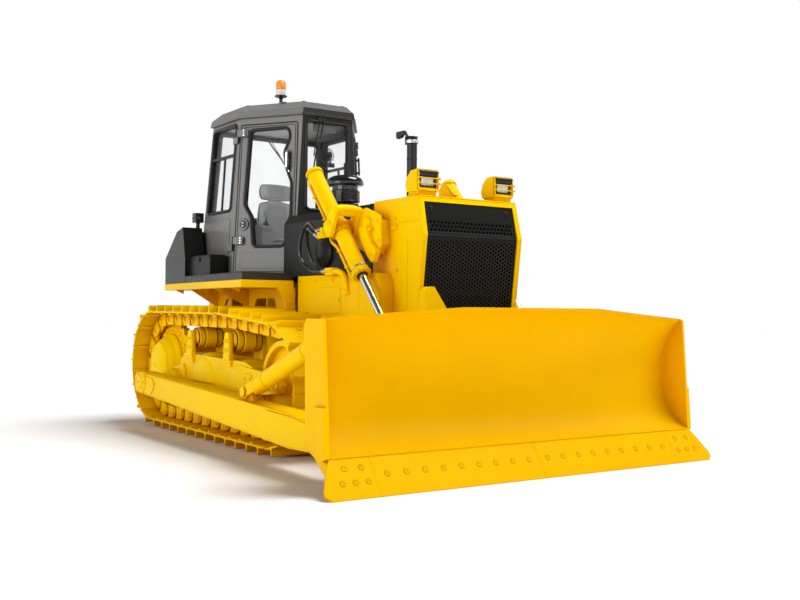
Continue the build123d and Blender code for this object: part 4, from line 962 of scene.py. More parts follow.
# push arms and braces
BL = Vector((790, 0, 505))
BU = Vector((1985, 0, 955))
BD = (BU - BL).normalized()
BLEN = (BU - BL).length
for s, side in ((-1, "right"), (1, "left")):
    k = Kit()
    yo, yi = s * 1430, s * 1270
    # rolled edges of the box beam
    for y in (yo, yi):
        k.tube([(-1438, y - math.copysign(5, y), 526), (1590, y - math.copysign(5, y), 406.5)], 9, 10)
        k.tube([(-1438, y - math.copysign(5, y), 362), (1590, y - math.copysign(5, y), 184.5)], 9, 10)
    # outer doubling plate at the front and at the trunnion
    k.prism(round_poly([(1210, 412), (1590, 398), (1945, 360), (1990, 326), (1990, 240), (1945, 204), (1590, 192), (1330, 205)], 20), at_xz, yo - s * 1, yo + s * 10, cham=3)
    k.prism(round_poly([(-1446, 392), (-1446, 500), (-1420, 516), (-1030, 498), (-960, 430), (-1050, 352), (-1420, 368)], 24), at_xz, yo - s * 1, yo + s * 9, cham=3)
    # trunnion cover bolted to the arm
    k.lathe((-1260, s * 1439, 450), (0, s, 0), [(-4, 0), (-4, 90), (4, 90), (9, 86), (12, 76), (13, 40), (17, 36), (19, 26), (19, 0)], 48)
    for i in range(6):
        a = i * math.pi / 3
        k.bolt((-1260 + 62 * math.cos(a), s * 1451, 450 + 62 * math.sin(a)), (0, s, 0), af=16, h=7, washer=False)
    # brace lug doublers
    for d in (-1, 1):
        k.lathe((790, s * 1350 + d * 58, 505), (0, d, 0), [(-2, 0), (-2, 40), (5, 38), (8, 28), (8, 0)], 24)
        k.lathe((1985, s * 1350 + d * 58, 955), (0, d, 0), [(-2, 0), (-2, 40), (5, 38), (8, 28), (8, 0)], 24)
    # brace: end collars, lock ring with spanner flats, thread, grease nipple
    yb = Vector((0, s * 1350, 0))
    for d0, sign in ((205, 1), (BLEN - 205, -1)):
        p = BL + BD * d0 + yb
        k.lathe(p, BD * sign, [(-52, 0), (-52, 58), (-46, 66), (-6, 69), (4, 67), (8, 62), (8, 0)], 36)
        k.lathe(BL + BD * (d0 - sign * 74) + yb, BD * sign, [(-14, 0), (-14, 58), (-10, 62), (22, 62), (24, 58), (24, 0)], 8)
    for d0 in (320, BLEN - 320):
        k.ring(BL + BD * d0 + yb, BD, 62, 68, 26, 36)
    p = BL + BD * (BLEN / 2) + yb
    k.lathe(p + Vector((-BD.z, 0, BD.x)) * 62, (-BD.z, 0, BD.x), [(0, 0), (0, 11), (10, 11), (12, 6), (20, 6), (22, 4), (22, 0)], 12)
    k.make("arm_fittings_" + side, [YELLOW], "dozer_blade")


# ------------------------------------------------------------------ lift cylinders
CX, CZ = 950.0, 1740.0
AX = Vector((900.0, 0, -1010.0)).normalized()
DN = Vector((AX.z, 0, -AX.x))          # square to the barrel, down and back


def cyl(d, off=0.0, y=0.0, s=-1):
    p = Vector((CX, 0, CZ)) + AX * d + DN * off
    return Vector((p.x, s * (670.0 + y), p.z))


for s, side in ((-1, "right"), (1, "left")):
    k = Kit()
    # domed head, weld rings, clamp bands
    k.lathe(cyl(-642, s=s), -AX, [(-21, 0), (-21, 61), (-30, 61), (-30, 71.5), (-2, 71.5), (6, 66), (14, 52), (18, 30), (19, 0)], 44)
    for d in (-606, -60, 60, 436):
        k.ring(cyl(d, s=s), AX, 60, 66.5, 10, 48)
    # gland nut with spanner slots
    k.ring(cyl(470, s=s), AX, 32, 72.5, 26, 48, 0)
    for i in range(8):
        a = 2 * math.pi * i / 8
        u, v, w = square_to(AX)
        q = cyl(472, s=s) + (u * math.cos(a) + v * math.sin(a)) * 71
        k.lathe(q, AX, [(-9, 0), (-9, 6), (10, 6), (10, 0)], 10)
    # trunnion block: cap screws each side
    for d in (-34, 34):
        for off in (-60, 60):
            k.bolt(cyl(d, off, 48, s), (0, s, 0), af=17, h=9)
            k.bolt(cyl(d, off, -48, s), (0, -s, 0), af=17, h=9)
    for yy in (52, -52):
        k.ring(cyl(0, 0, yy, s), (0, 1, 0), 28, 44, 10, 32)
    # oil pipe down the barrel to the gland port
    k.tube(smooth_path([cyl(-8, 62, 30, s), cyl(0, 96, 44, s), cyl(40, 104, 44, s), cyl(90, 92, 36, s), cyl(140, 86, 30, s), cyl(280, 86, 30, s),
                        cyl(392, 86, 30, s), cyl(420, 80, 26, s), cyl(436, 62, 20, s)], 6), 12.5, 12)
    k.box(cyl(408, 77, 12, s) - Vector((18, 20, 18)), cyl(408, 77, 12, s) + Vector((18, 20, 18)), cham=5)
    # oil pipe up to the head port
    k.tube(smooth_path([cyl(-30, 70, 14, s), cyl(-64, 90, 22, s), cyl(-110, 86, 26, s), cyl(-300, 84, 26, s), cyl(-520, 84, 26, s), cyl(-580, 82, 22, s), cyl(-604, 60, 12, s)], 6), 11.5, 12)
    k.box(cyl(-600, 83, 6, s) - Vector((22, 22, 22)), cyl(-600, 83, 6, s) + Vector((22, 22, 22)), cham=6)
    for d in (160, 330, -180, -430):
        k.box(cyl(d, 72, 30, s) - Vector((15, 20, 15)), cyl(d, 72, 30, s) + Vector((15, 20, 15)), cham=4)
        k.bolt(cyl(d, 82, 50, s), (0, s, 0), af=12, h=6, washer=False)
    # bright wiper clamp by the gland, dark wiper lip
    k.ring(cyl(424, s=s), AX, 61, 67.5, 11, 56, 1)
    k.box(cyl(424, -70, 10, s) - Vector((9, 12, 9)), cyl(424, -70, 10, s) + Vector((9, 12, 9)), 1, cham=2)
    k.ring(cyl(486, s=s), AX, 32.0, 43, 9, 48, 2)
    k.make("lift_barrel_fittings_" + side, [YELLOW, BRIGHT, RUBBER], side + "_barrel")

    k = Kit()
    p = Vector((1850, s * 670, 730))
    for d in (-1, 1):
        k.lathe(p + Vector((0, d * s * 40, 0)), (0, d * s, 0), [(-3, 0), (-3, 54), (3, 52), (5, 46), (5, 0)], 36)
    k.lathe(p - AX * 60, -AX, [(-16, 0), (-16, 44), (0, 42), (18, 34), (24, 31), (24, 0)], 36)
    k.lathe(p + Vector((0.75, 0, 0.66)).normalized() * 57, (0.75, 0, 0.66), [(0, 0), (0, 9), (7, 9), (9, 5), (15, 5), (17, 3), (17, 0)], 12)
    k.make("rod_eye_" + side, [YELLOW], side + "_rod")

    # yoke bearing caps, guard side bracket, hose port block
    k = Kit()
    for y, d in ((784, 1), (556, -1)):
        k.lathe((CX, s * y, CZ), (0, s * d, 0), [(-4, 0), (-4, 66), (5, 64), (9, 52), (12, 38), (16, 34), (16, 0)], 40)
        for i in range(4):
            a = math.pi / 4 + i * math.pi / 2
            k.bolt((CX + 52 * math.cos(a), s * (y + d * 6), CZ + 52 * math.sin(a)), (0, s * d, 0), af=17, h=9, washer=False)
    # rounded bridge of the fork
    a55 = math.radians(55)
    fx, fz = CX + 160 * math.cos(a55), CZ + 160 * math.sin(a55)
    pts = []
    for i in range(25):
        t = -1 + 2 * i / 24
        bow = 14 * (1 - t * t)
        pts.append((fx + (8 + bow) * math.cos(a55), s * (670 + t * 108), fz + (8 + bow) * math.sin(a55)))
    k.tube(pts, 36, 20, flat=0.9)
    for y in (770, 570):
        k.lathe((fx, s * y, fz), (math.cos(a55), 0, math.sin(a55)), [(-30, 0), (-30, 40), (14, 40), (28, 33), (36, 20), (38, 0)], 24)
    # bearing housing with cap bolts on a tapered bracket
    k.lathe((1150, s * 556, 1690), (0.25, 0, 0.97), [(0, 0), (0, 43), (4, 45), (120, 45), (128, 41), (134, 26), (136, 0)], 36)
    k.prism(round_poly([(1085, 1760), (1205, 1745), (1250, 1640), (1338, 1575), (1280, 1470), (1215, 1520), (1120, 1640)], 16), at_xz, s * 540, s * 596, cham=8)
    for x, z in ((1205, 1735), (1243, 1728)):
        k.lathe((x, s * 585, z), (0.2, s * 0.95, 0.2), [(0, 0), (0, 17), (10, 17), (12, 12), (20, 12), (22, 8), (22, 0)], 16)
    k.ring((1282, s * 597, 1530), (0, 1, 0), 10, 19, 5, 24)
    for x, z in ((905, 1690), (920, 1800), (1060, 1858), (1300, 1790), (1320, 1640)):
        k.bolt((x, s * 557, z), (0, s, 0), af=22, h=11)
    # hose port block on the outer bearing
    k.box((846, s * 786, 1668), (926, s * 822, 1716), cham=7)
    k.box((860, s * 776, 1700), (905, s * 806, 1752), cham=6)
    for z in (1680, 1704):
        k.bolt((912, s * 822, z), (0, s, 0), af=12, h=7, washer=False)
    for x in (868, 892):
        k.lathe((x, s * 822, 1692), (0, s, 0), [(0, 0), (0, 8), (7, 8), (9, 5), (9, 0)], 12)
    # lower port block on the side panel
    k.box((664, s * 588, 1392), (792, s * 648, 1452), cham=8)
    k.tube(smooth_path([(780, s * 618, 1420), (850, s * 620, 1418), (900, s * 612, 1392), (918, s * 600, 1330), (918, s * 590, 1270)], 8), 24, 16)
    k.lathe((918, s * 589, 1262), (0, 0, 1), [(-22, 0), (-22, 34), (-16, 36), (10, 36), (14, 30), (14, 0)], 24)
    for x in (690, 766):
        k.bolt((x, s * 648, 1422), (0, s, 0), af=16, h=9)
    # hose end fittings
    for (p, d) in (((852, s * 796, 1706), (-0.86, 0, 0.5)), ((846, s * 808, 1680), (-0.9, 0, 0.42)), ((664, s * 606, 1424), (-1, 0, 0)), ((664, s * 632, 1424), (-1, 0, 0))):
        k.lathe(p, d, [(-6, 0), (-6, 19), (10, 19), (12, 15), (34, 15), (36, 17), (58, 17), (60, 12), (60, 0)], 18, 1)
    k.make("lift_yoke_fittings_" + side, [YELLOW_CAST, BRIGHT], "chassis")


def hose(name, pts, r):
    cu = bpy.data.curves.new(name, "CURVE")
    cu.dimensions = "3D"
    sp = cu.splines.new("NURBS")
    sp.points.add(len(pts) - 1)
    for q, p in zip(sp.points, pts):
        q.co = (p[0] * 0.001, p[1] * 0.001, p[2] * 0.001, 1.0)
        q.radius = r * 0.001
    sp.order_u = 3
    sp.use_endpoint_u = True
    sp.resolution_u = 10
    cu.bevel_depth = 1.0
    cu.bevel_resolution = 5
    cu.use_fill_caps = True
    cu.materials.append(HOSE_RUBBER)
    ob = bpy.data.objects.new(name, cu)
    scene.collection.objects.link(ob)
    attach(ob, "chassis")
    bpy.context.view_layer.update()
    cu.bevel_depth = 0.0
    bpy.context.view_layer.update()
    me = bpy.data.meshes.new_from_object(ob.evaluated_get(bpy.context.evaluated_depsgraph_get()))
    length = sum((me.vertices[e.vertices[0]].co - me.vertices[e.vertices[1]].co).length for e in me.edges)
    bpy.data.meshes.remove(me)
    cu.bevel_depth = 1.0
    bpy.context.view_layer.update()
    return ob, length


HOSES = []
for s, side in ((-1, "right"), (1, "left")):
    outer = [(800, 796, 1736), (748, 795, 1766), (690, 788, 1795), (610, 766, 1802), (500, 728, 1795), (390, 690, 1766), (300, 664, 1714), (248, 650, 1640),
             (246, 642, 1564), (292, 638, 1498), (372, 635, 1452), (462, 633, 1430), (530, 632, 1425), (604, 632, 1424)]
    inner = [(792, 808, 1705), (740, 807, 1728), (685, 800, 1750), (615, 776, 1758), (530, 734, 1745), (450, 692, 1705), (402, 660, 1650), (384, 636, 1585),
             (396, 616, 1520), (434, 608, 1468), (486, 606, 1440), (540, 606, 1427), (575, 606, 1424), (604, 606, 1424)]
    for tag, path in (("outer", outer), ("inner", inner)):
        ob, ln = hose("lift_hose_%s_%s" % (tag, side), [(x, s * y, z) for x, y, z in path], 14.0)
        HOSES.append((ob, ln, [c * 0.001 for c in (path[0][0], s * path[0][1], path[0][2])]))

for ob, ln, start in HOSES:
    tuple(start)

# ------------------------------------------------------------------ radiator mask: folded sheet, round holes, diamond screen
LOW_LEN = math.hypot(114.0, 918.0)
UP_LEN = math.hypot(52.0, 243.0)


def low_pt(y, t, off=0.0):
    n = Vector((918.0, 0, -114.0)) / LOW_LEN
    return Vector((1634 + 114 * t / LOW_LEN, y, 748 + 918 * t / LOW_LEN)) + n * off


def up_pt(y, t, off=0.0):
    n = Vector((243.0, 0, 52.0)) / UP_LEN
    return Vector((1748 - 52 * t / UP_LEN, y, 1666 + 243 * t / UP_LEN)) + n * off


def up_half(t):
    return 420 - 6 * t / UP_LEN


k = Kit()


def sheet_quad(fn, y0a, y1a, t0, y0b, y1b, t1, thick=6.0):
    v = [fn(y0a, t0), fn(y1a, t0), fn(y1b, t1), fn(y0b, t1), fn(y0a, t0, -thick), fn(y1a, t0, -thick), fn(y1b, t1, -thick), fn(y0b, t1, -thick)]
    k.add(v, [(0, 1, 2, 3), (7, 6, 5, 4), (0, 4, 5, 1), (1, 5, 6, 2), (2, 6, 7, 3), (3, 7, 4, 0)])


# upper sheet: plain strips above and below three staggered rows of holes
ROW_T, CELL = [26.0, 56.0, 86.0, 116.0], 34.0
sheet_quad(up_pt, -up_half(0), up_half(0), 0, -up_half(26), up_half(26), 26)
sheet_quad(up_pt, -up_half(116), up_half(116), 116, -up_half(UP_LEN), up_half(UP_LEN), UP_LEN)
for r in range(3):
    t0, t1 = ROW_T[r], ROW_T[r + 1]
    count = 23 - (r % 2)
    ya, yb = -count * CELL / 2, count * CELL / 2
    sheet_quad(up_pt, -up_half(t0), ya, t0, -up_half(t1), ya, t1)
    sheet_quad(up_pt, yb, up_half(t0), t0, yb, up_half(t1), t1)
    for i in range(count):
        y0 = ya + i * CELL
        yc, tc = y0 + CELL / 2, (t0 + t1) / 2
        rim_o, rim_i = [], []
        for a in range(16):
            q = math.radians(a * 22.5)
            c, sn = math.cos(q), math.sin(q)
            m = max(abs(c) / (CELL / 2), abs(sn) / ((t1 - t0) / 2))
            rim_o.append((yc + c / m, tc + sn / m))
            rim_i.append((yc + 10.5 * c, tc + 10.5 * sn))
        verts = [up_pt(*p) for p in rim_o] + [up_pt(*p) for p in rim_i] + [up_pt(p[0], p[1], -6) for p in rim_i]
        faces = []
        for a in range(16):
            b = (a + 1) % 16
            faces.append((a, b, 16 + b, 16 + a))
            faces.append((16 + a, 16 + b, 32 + b, 32 + a))
        k.add(verts, faces)
# lower sheet: frame strips round the screen
B = 26.0
sheet_quad(low_pt, -420, 420, 0, -420, 420, B)
sheet_quad(low_pt, -420, 420, LOW_LEN - 34, -420, 420, LOW_LEN)
sheet_quad(low_pt, -420, -420 + B, B, -420, -420 + B, LOW_LEN - 34)
sheet_quad(low_pt, 420 - B, 420, B, 420 - B, 420, LOW_LEN - 34)
# fold: a rounded bar where the two planes meet
k.tube([(1743.5, -419, 1665), (1743.5, 419, 1665)], 5.5, 10)
for s in (-1, 1):
    # round plugs
    k.lathe(up_pt(s * 352, 192), Vector((243, 0, 52)), [(-2, 0), (-2, 26), (3, 25), (6, 20), (5, 14), (5, 0)], 32)
    for t in (60, 460, 860):
        k.bolt(low_pt(s * 407, t), Vector((918, 0, -114)), af=13, h=6, round_head=True)
# screen: a sheet of staggered round holes
PV, HOLE = 29.2, 10.4
PY, HEX = PV * math.sqrt(3) / 2, PV / math.sqrt(3)
ny = int((840 - 2 * B) / PY) + 2
nt_ = int((LOW_LEN - B - 34) / PV) + 2
for i in range(ny):
    yc = (i - (ny - 1) / 2) * PY
    for j in range(nt_):
        tc = (LOW_LEN + B - 34) / 2 + (j - (nt_ - 1) / 2 + (0.25 if i % 2 else -0.25)) * PV
        outer, inner = [], []
        for a in range(12):
            q = math.radians(a * 30)
            r = HEX if a % 2 == 0 else PV / 2
            outer.append((yc + r * math.cos(q), tc + r * math.sin(q)))
            inner.append((yc + HOLE * math.cos(q), tc + HOLE * math.sin(q)))
        outer, inner = [[(max(-416, min(416, y)), max(4, min(LOW_LEN - 4, t))) for y, t in ps] for ps in (outer, inner)]
        v = [low_pt(*q, -0.8) for q in outer] + [low_pt(*q, -0.8) for q in inner] + [low_pt(*q, -5.0) for q in inner]
        f = []
        for a in range(12):
            b = (a + 1) % 12
            f.append((a, b, 12 + b, 12 + a))
            f.append((12 + a, 12 + b, 24 + b, 24 + a))
        k.add(v, f, 1)
k.make("radiator_mask", [CHARCOAL, MESH_PAINT], "chassis", replaces=("grille",))

# things seen dimly behind the screen: cross bar, cooler pipes
k = Kit()
k.box((1545, -406, 1238), (1585, 406, 1272), cham=6)
k.tube(smooth_path([(1560, -350, 1560), (1560, -350, 1420), (1560, -300, 1380), (1560, 300, 1380), (1560, 350, 1340), (1560, 350, 1100)], 6), 16, 12)
for y in (-300, 0, 300):
    k.box((1524, y - 10, 760), (1540, y + 10, 1640), cham=3)
k.make("cooler_bars", [CHARCOAL], "chassis")

# ------------------------------------------------------------------ guard sides, hood, lower panels
k = Kit()
for s in (-1, 1):
    # upper seam strip with its two bolts, latch, soft crease, edge beads
    y_at = lambda z: 460 - max(0.0, (z - 1670) * (8.0 / 295.0))
    for x in (1200, 1400):
        k.bolt((x, s * y_at(1800), 1800), (0, s, 0.03), af=14, h=7)
    k.tube([(1094, s * (y_at(1770) + 0.5), 1770), (1724, s * (y_at(1770) + 0.5), 1770)], 2.2, 6)
    k.prism(round_poly([(1330, 1716), (1420, 1716), (1440, 1738), (1420, 1758), (1330, 1752)], 8), lambda u, v, w, s=s: (u, s * (y_at(v) + w), v), 0, 7, cham=2)
    k.lathe((1412, s * (y_at(1736) + 6), 1736), (0, s, 0.2), [(0, 0), (0, 12), (8, 11), (10, 6), (10, 0)], 16)
    k.tube([(1560, s * 460.2, 720), (1560, s * 460.2, 1668)], 3.0, 6)
    for z in (820, 1120, 1420):
        k.bolt((1420, s * 460, z), (0, s, 0), af=19, h=10)
    # rolled front edge
    k.tube([(1636, s * 457, 702), (1757, s * 457, 1668)], 6, 10)
    k.tube([(1757, s * 457, 1669), (1687, s * 449, 1952)], 6, 10)
    # lower panel fasteners, lifting hole plate, seam
    for x in (150, 420, 690, 960):
        for z in (1035, 1355):
            k.bolt((x, s * 585, z), (0, s, 0), af=17, h=8)
    for x in (1160, 1340):
        k.bolt((x, s * 585, 1060), (0, s, 0), af=19, h=9)
    k.tube([(1088, s * 585.4, 1002), (1088, s * 585.4, 1396)], 1.8, 6)
    k.prism(round_poly([(470, 1090), (820, 1090), (820, 1300), (470, 1300)], 26), at_xz, s * 584, s * 588.5, cham=2)
    k.lathe((790, s * 588, 1195), (0, s, 0), [(0, 0), (0, 17), (5, 16), (7, 9), (7, 0)], 20)
k.tube([(1690, -449, 1953), (1690, 449, 1953)], 5, 10)
# lifting eye doubler
for d in (-1, 1):
    k.prism(round_poly([(1345, 1956), (1345, 2045), (1376, 2084), (1424, 2078), (1560, 1958)], 14), at_xz, d * 14.5, d * 19, cham=2)
k.make("guard_fittings", [YELLOW], "chassis")

k = Kit()
for s in (-1, 1):
    # hood side: recessed access panel line, louvres, latches
    k.prism(round_poly([(140, 1440), (1060, 1440), (1060, 1830), (140, 1830)], 34), at_xz, s * 444.5, s * 450, cham=2.5)
    for i in range(9):
        z = 1500 + i * 34
        k.prism([(620, z), (980, z), (980, z + 12), (620, z + 12)], lambda u, v, w, s=s: (u, s * (449 + w), v), 0, 9, cham=3)
    for x in (260, 520):
        k.box((x - 30, s * 450, 1792), (x + 30, s * 459, 1814), cham=3)
        k.lathe((x, s * 458, 1803), (0, s, 0), [(0, 0), (0, 9), (5, 8), (5, 0)], 16)
    # round cover of the side air pump and its bracket bars
    k.lathe((330, s * 449, 1600), (0, s, 0), [(0, 0), (0, 132), (20, 130), (34, 112), (40, 80), (46, 70), (52, 40), (52, 0)], 44)
    for z in (1712, 1736):
        k.rod((470, s * 470, z), (640, s * 470, z), 9)
        k.box((478, s * 449, z - 8), (494, s * 472, z + 8), cham=2)
        k.box((616, s * 449, z - 8), (632, s * 472, z + 8), cham=2)
    k.tube([(-420, s * 446, 1880), (1084, s * 446, 1880)], 2.2, 6)
for x in (-300, 0, 560, 820):
    k.tube([(x, -398, 1952.6), (x, 398, 1952.6)], 2.0, 6)
for x in (-380, -80, 300, 480, 720, 930):
    for y in (-375, 375):
        k.bolt((x, y, 1952), (0, 0, 1), af=17, h=8)
# hood handle
k.tube(smooth_path([(650, -60, 1950), (650, -60, 1985), (650, -50, 1996), (650, 50, 1996), (650, 60, 1985), (650, 60, 1950)], 6), 8, 10)
k.make("hood_fittings", [HOOD_GREY], "chassis")

# dark sheets inside the guard, between the mask and the core: painted shade over the guard's inner walls
k = Kit()
for s in (-1, 1):
    k.prism([(1400, 754), (1618, 754), (1726, 1652), (1400, 1652)], at_xz, s * 415.5, s * 421.0, cham=1)
    k.prism([(1526, 1662), (1724, 1664), (1680, 1888), (1526, 1888)], at_xz, s * 409.0, s * 412.5, cham=1)
k.prism([(1400, 1896), (1672, 1896), (1670, 1904), (1400, 1904)], at_xz, -406, 406, cham=1)
k.prism([(1526, 750), (1614, 750), (1615, 756), (1526, 756)], at_xz, -410, 410, cham=1)
k.make("guard_inside_painted_shade", [CHARCOAL], "chassis")

# ------------------------------------------------------------------ lamps
k = Kit()
for s in (-1, 1):
    yc = s * 355.0
    # bezel frame, reflector, glass
    for lo, hi in (((1641, yc - 76, 2019), (1660, yc - 58, 2117)), ((1641, yc + 58, 2019), (1660, yc + 76, 2117)),
                   ((1641, yc - 76, 2019), (1660, yc + 76, 2034)), ((1641, yc - 76, 2088), (1660, yc + 76, 2117))):
        k.box(lo, hi, 0, cham=3)
    nu, nv = 14, 9
    verts, faces = [], []
    for i in range(nu + 1):
        for j in range(nv + 1):
            a, b = -1 + 2 * i / nu, -1 + 2 * j / nv
            verts.append((1643 + 7 * max(abs(a) ** 3, abs(b) ** 3), yc + a * 58.5, 2061 + b * 27.5))
    for i in range(nu):
        for j in range(nv):
            p = i * (nv + 1) + j
            faces.append((p, p + 1, p + nv + 2, p + nv + 1))
    k.add(verts, faces, 1)
    k.lathe((1644, yc, 2061), (1, 0, 0), [(0, 0), (0, 7), (4, 6), (6, 3), (6, 0)], 16, 1)
    k.box((1652.5, yc - 59, 2033.5), (1656, yc + 59, 2088.5), 2, cham=1)
k.make("lamp_units", [BLACK_PLASTIC, REFLECTOR, LAMP_GLASS], "chassis", replaces=("lamp_lenses",))

k = Kit()
for s in (-1, 1):
    yc = s * 355.0
    # slanted black visor
    k.prism([(1648, 2098), (1668, 2104), (1666, 2142), (1648, 2147)], at_xz, yc - 84, yc + 84, 1, cham=2)
    k.prism([(1655, 2139), (1680, 2128), (1681, 2133), (1656, 2147)], at_xz, yc - 86, yc + 86, 1)
    # side cheeks and lower lip
    for d in (-1, 1):
        k.prism([(1655, 2000), (1676, 2006), (1672, 2138), (1655, 2146)], at_xz, yc + d * 84, yc + d * 90, 0, cham=1.5)
    k.box((1655, yc - 90, 1992), (1678, yc + 90, 2012), 0, cham=4)
    for d in (-1, 1):
        k.bolt((1678, yc + d * 62, 2002), (1, 0, 0), af=12, h=6, washer=False)
    # guard bars with end knobs
    for z in (2047, 2086):
        k.rod((1678, yc - 97, z), (1678, yc + 97, z), 4.2, 12)
        for d in (-1, 1):
            k.lathe((1678, yc + d * 92, z), (0, d, 0), [(0, 0), (0, 8), (9, 8), (12, 5), (12, 0)], 12)
    # foot with bolts
    for x in (1545, 1630):
        for d in (-1, 1):
            k.bolt((x, yc + d * 92, 1958), (0, 0, 1), af=14, h=8)
    k.box((1525, yc - 104, 1953), (1660, yc + 104, 1960), 0, cham=2)
    # rear pivot knob
    k.lathe((1500, yc, 2040), (-1, 0, 0), [(-6, 0), (-6, 22), (6, 22), (14, 16), (16, 0)], 24)
k.make("lamp_guards", [YELLOW, BLACK_PLASTIC], "chassis")

# ------------------------------------------------------------------ exhaust, rain cap, pre-cleaner, beacon
k = Kit()
S = (1010.0, -50.0)
k.ring((S[0], S[1], 2467), (0, 0, 1), 45.5, 50.5, 26, 48, 1)
k.box((S[0] + 44, S[1] - 10, 2457), (S[0] + 66, S[1] + 10, 2477), 1, cham=2)
k.bolt((S[0] + 56, S[1] - 10, 2467), (0, -1, 0), af=11, h=7, mat=1, washer=False)
for z in (2010, 2200, 2330):
    k.ring((S[0], S[1], z), (0, 0, 1), 40, 43.5, 8, 44)
for i in range(6):
    a = i * math.pi / 3
    k.bolt((S[0] + 62 * math.cos(a), S[1] + 62 * math.sin(a), 1966), (0, 0, 1), af=15, h=8, washer=False)
k.tube([(S[0] - 41.5, S[1], 1995), (S[0] - 41.5, S[1], 2446)], 2.4, 6)
k.make("stack_rings", [BLACK, BRIGHT], "chassis")

k = Kit()
k.lathe((948, -50, 2509), (0, 1, 0), [(-26, 0), (-26, 5), (-24, 7), (24, 7), (26, 5), (26, 0)], 14)
k.box((850, -58, 2560), (872, -42, 2571), cham=2)
k.box((838, -58, 2548), (846, -42, 2566), cham=2)
k.ring((1010, -50, 2508), (0, 0, 1), 20, 26, 6, 28)
k.prism(round_poly([(796, 2576), (906, 2574), (926, 2558), (912, 2540), (882, 2536), (864, 2522), (814, 2516), (796, 2526)], 7),
        lambda u, v, w: (u, -50 + w, v), -14, 14, cham=3)
k.make("rain_cap_fittings", [BLACK], "rain_cap")

k = Kit()
PC = (90.0, -120.0)
k.lathe((*PC, 0.0), (0, 0, 1), [(1952.5, 0), (1952.5, 92), (1974, 92), (1982, 74), (1988, 70), (2038, 70), (2044, 80), (2052, 122), (2058, 126.5), (2148, 127), (2154, 122), (2157, 112),
                               (2194, 112), (2197, 150), (2200, 158), (2206, 161.5), (2214, 162), (2232, 160), (2248, 154), (2262, 142), (2274, 122), (2284, 94), (2290, 60), (2292.5, 28), (2293, 0)], 72)
for z, r in ((2060, 131), (2144, 132)):
    k.ring((*PC, z), (0, 0, 1), r - 8, r, 9, 72)
k.ring((*PC, 2102), (0, 0, 1), 127.6, 130, 72, 72, 1)
k.ring((*PC, 2012), (0, 0, 1), 69, 76, 18, 40, 2)
k.box((PC[0] + 68, PC[1] - 9, 2003), (PC[0] + 96, PC[1] + 9, 2021), 2, cham=2)
k.make("pre_cleaner_bowl", [GLOSS_BLACK, BOWL_CLEAR, BRIGHT], "chassis", replaces=("precleaner",))

k = Kit()
BC = (-1380.0, 0.0)
# foot, stalk, flared seat, pale band
k.lathe((*BC, 3022.5), (0, 0, 1), [(0, 0), (0, 60), (7, 60), (14, 22), (20, 17.5), (190, 17), (204, 24), (212, 52), (216, 61), (226, 62), (230, 56), (230, 0)], 44)
k.lathe((*BC, 3252), (0, 0, 1), [(0, 0), (0, 51), (2, 52), (54, 52), (57, 47), (57, 0)], 44, 1)
# fluted dome with a soft shoulder
prof = [(3308, 0.0), (3308, 46.0), (3312, 49.5), (3318, 50.5), (3372, 49.0), (3384, 46.5), (3394, 41.0), (3401, 32.0), (3406, 18.0), (3408, 0.0)]
nb = 96
verts, faces = [], []
for z, r in prof:
    for q in range(nb):
        a = 2 * math.pi * q / nb
        rr = r * (1.0 + (0.012 * math.cos(24 * a) if 3316 < z < 3390 else 0.0))
        verts.append((BC[0] + rr * math.cos(a), BC[1] + rr * math.sin(a), z))
for t in range(len(prof) - 1):
    for q in range(nb):
        q2 = (q + 1) % nb
        faces.append((t * nb + q, t * nb + q2, (t + 1) * nb + q2, (t + 1) * nb + q))
k.add(verts, faces, 2)
k.make("beacon_unit", [BLACK_PLASTIC, BAND_WHITE, AMBER], "chassis", replaces=("beacon",))


# ------------------------------------------------------------------ cab
U = Vector((0.8371, 0.547, 0)).normalized()
N = Vector((0.547, -0.8371, 65.0 / 1460.0)).normalized()
V = N.cross(U)
H0 = Vector((-983.5, -700.0, 1430.0))
DOOR_OUT = [(24, 18), (612, 18), (646, 560), (650, 1000), (648, 1392), (60, 1392)]
DOOR_GLASS = [(152, 1346), (566, 1352), (577, 1250), (524, 1124), (546, 985), (606, 845), (608, 562), (556, 262),
              (222, 262), (192, 538), (117, 652)]
DOOR_GLASS_R = [45, 60, 60, 80, 120, 90, 200, 60, 50, 90, 90]


def door_at(s):
    def at(u, v, w):
        p = H0 + U * u + V * v + N * w
        return (p.x, -s * p.y if s > 0 else p.y, p.z)
    return at


def side_at(s):
    n = Vector((0, -1, 75.0 / 1460.0)).normalized()
    up = n.cross(Vector((1, 0, 0)))

    def at(u, v, w):
        p = Vector((-1300, -700, 1430)) + Vector((1, 0, 0)) * u + up * v + n * w
        return (p.x, -p.y if s > 0 else p.y, p.z)
    return at


def front_at(u, v, w):
    return (-432 + w, u, v)


def rear_at(u, v, w):
    n = Vector((-1, 0, 140.0 / 1460.0)).normalized()
    x = Vector((0, -1, 0))
    up = n.cross(x)
    p = Vector((-1735, 0, 1430)) + x * u + up * v + n * w
    return (p.x, p.y, p.z)


SIDE_WIN = [(-312, 610), (222, 610), (265, 1415), (-258, 1415)]
FRONT_WIN = [(-225, 2030), (225, 2030), (225, 2840), (-225, 2840)]
REAR_WIN = [(-585, 600), (585, 600), (548, 1405), (-548, 1405)]

k = Kit()


def seal(k, pts, r, at, off, rad, mat=0, flat=1.0):
    k.tube([at(u, v, off) for u, v in round_poly(pts, r, 7)], rad, 10, mat, closed=True, flat=flat)


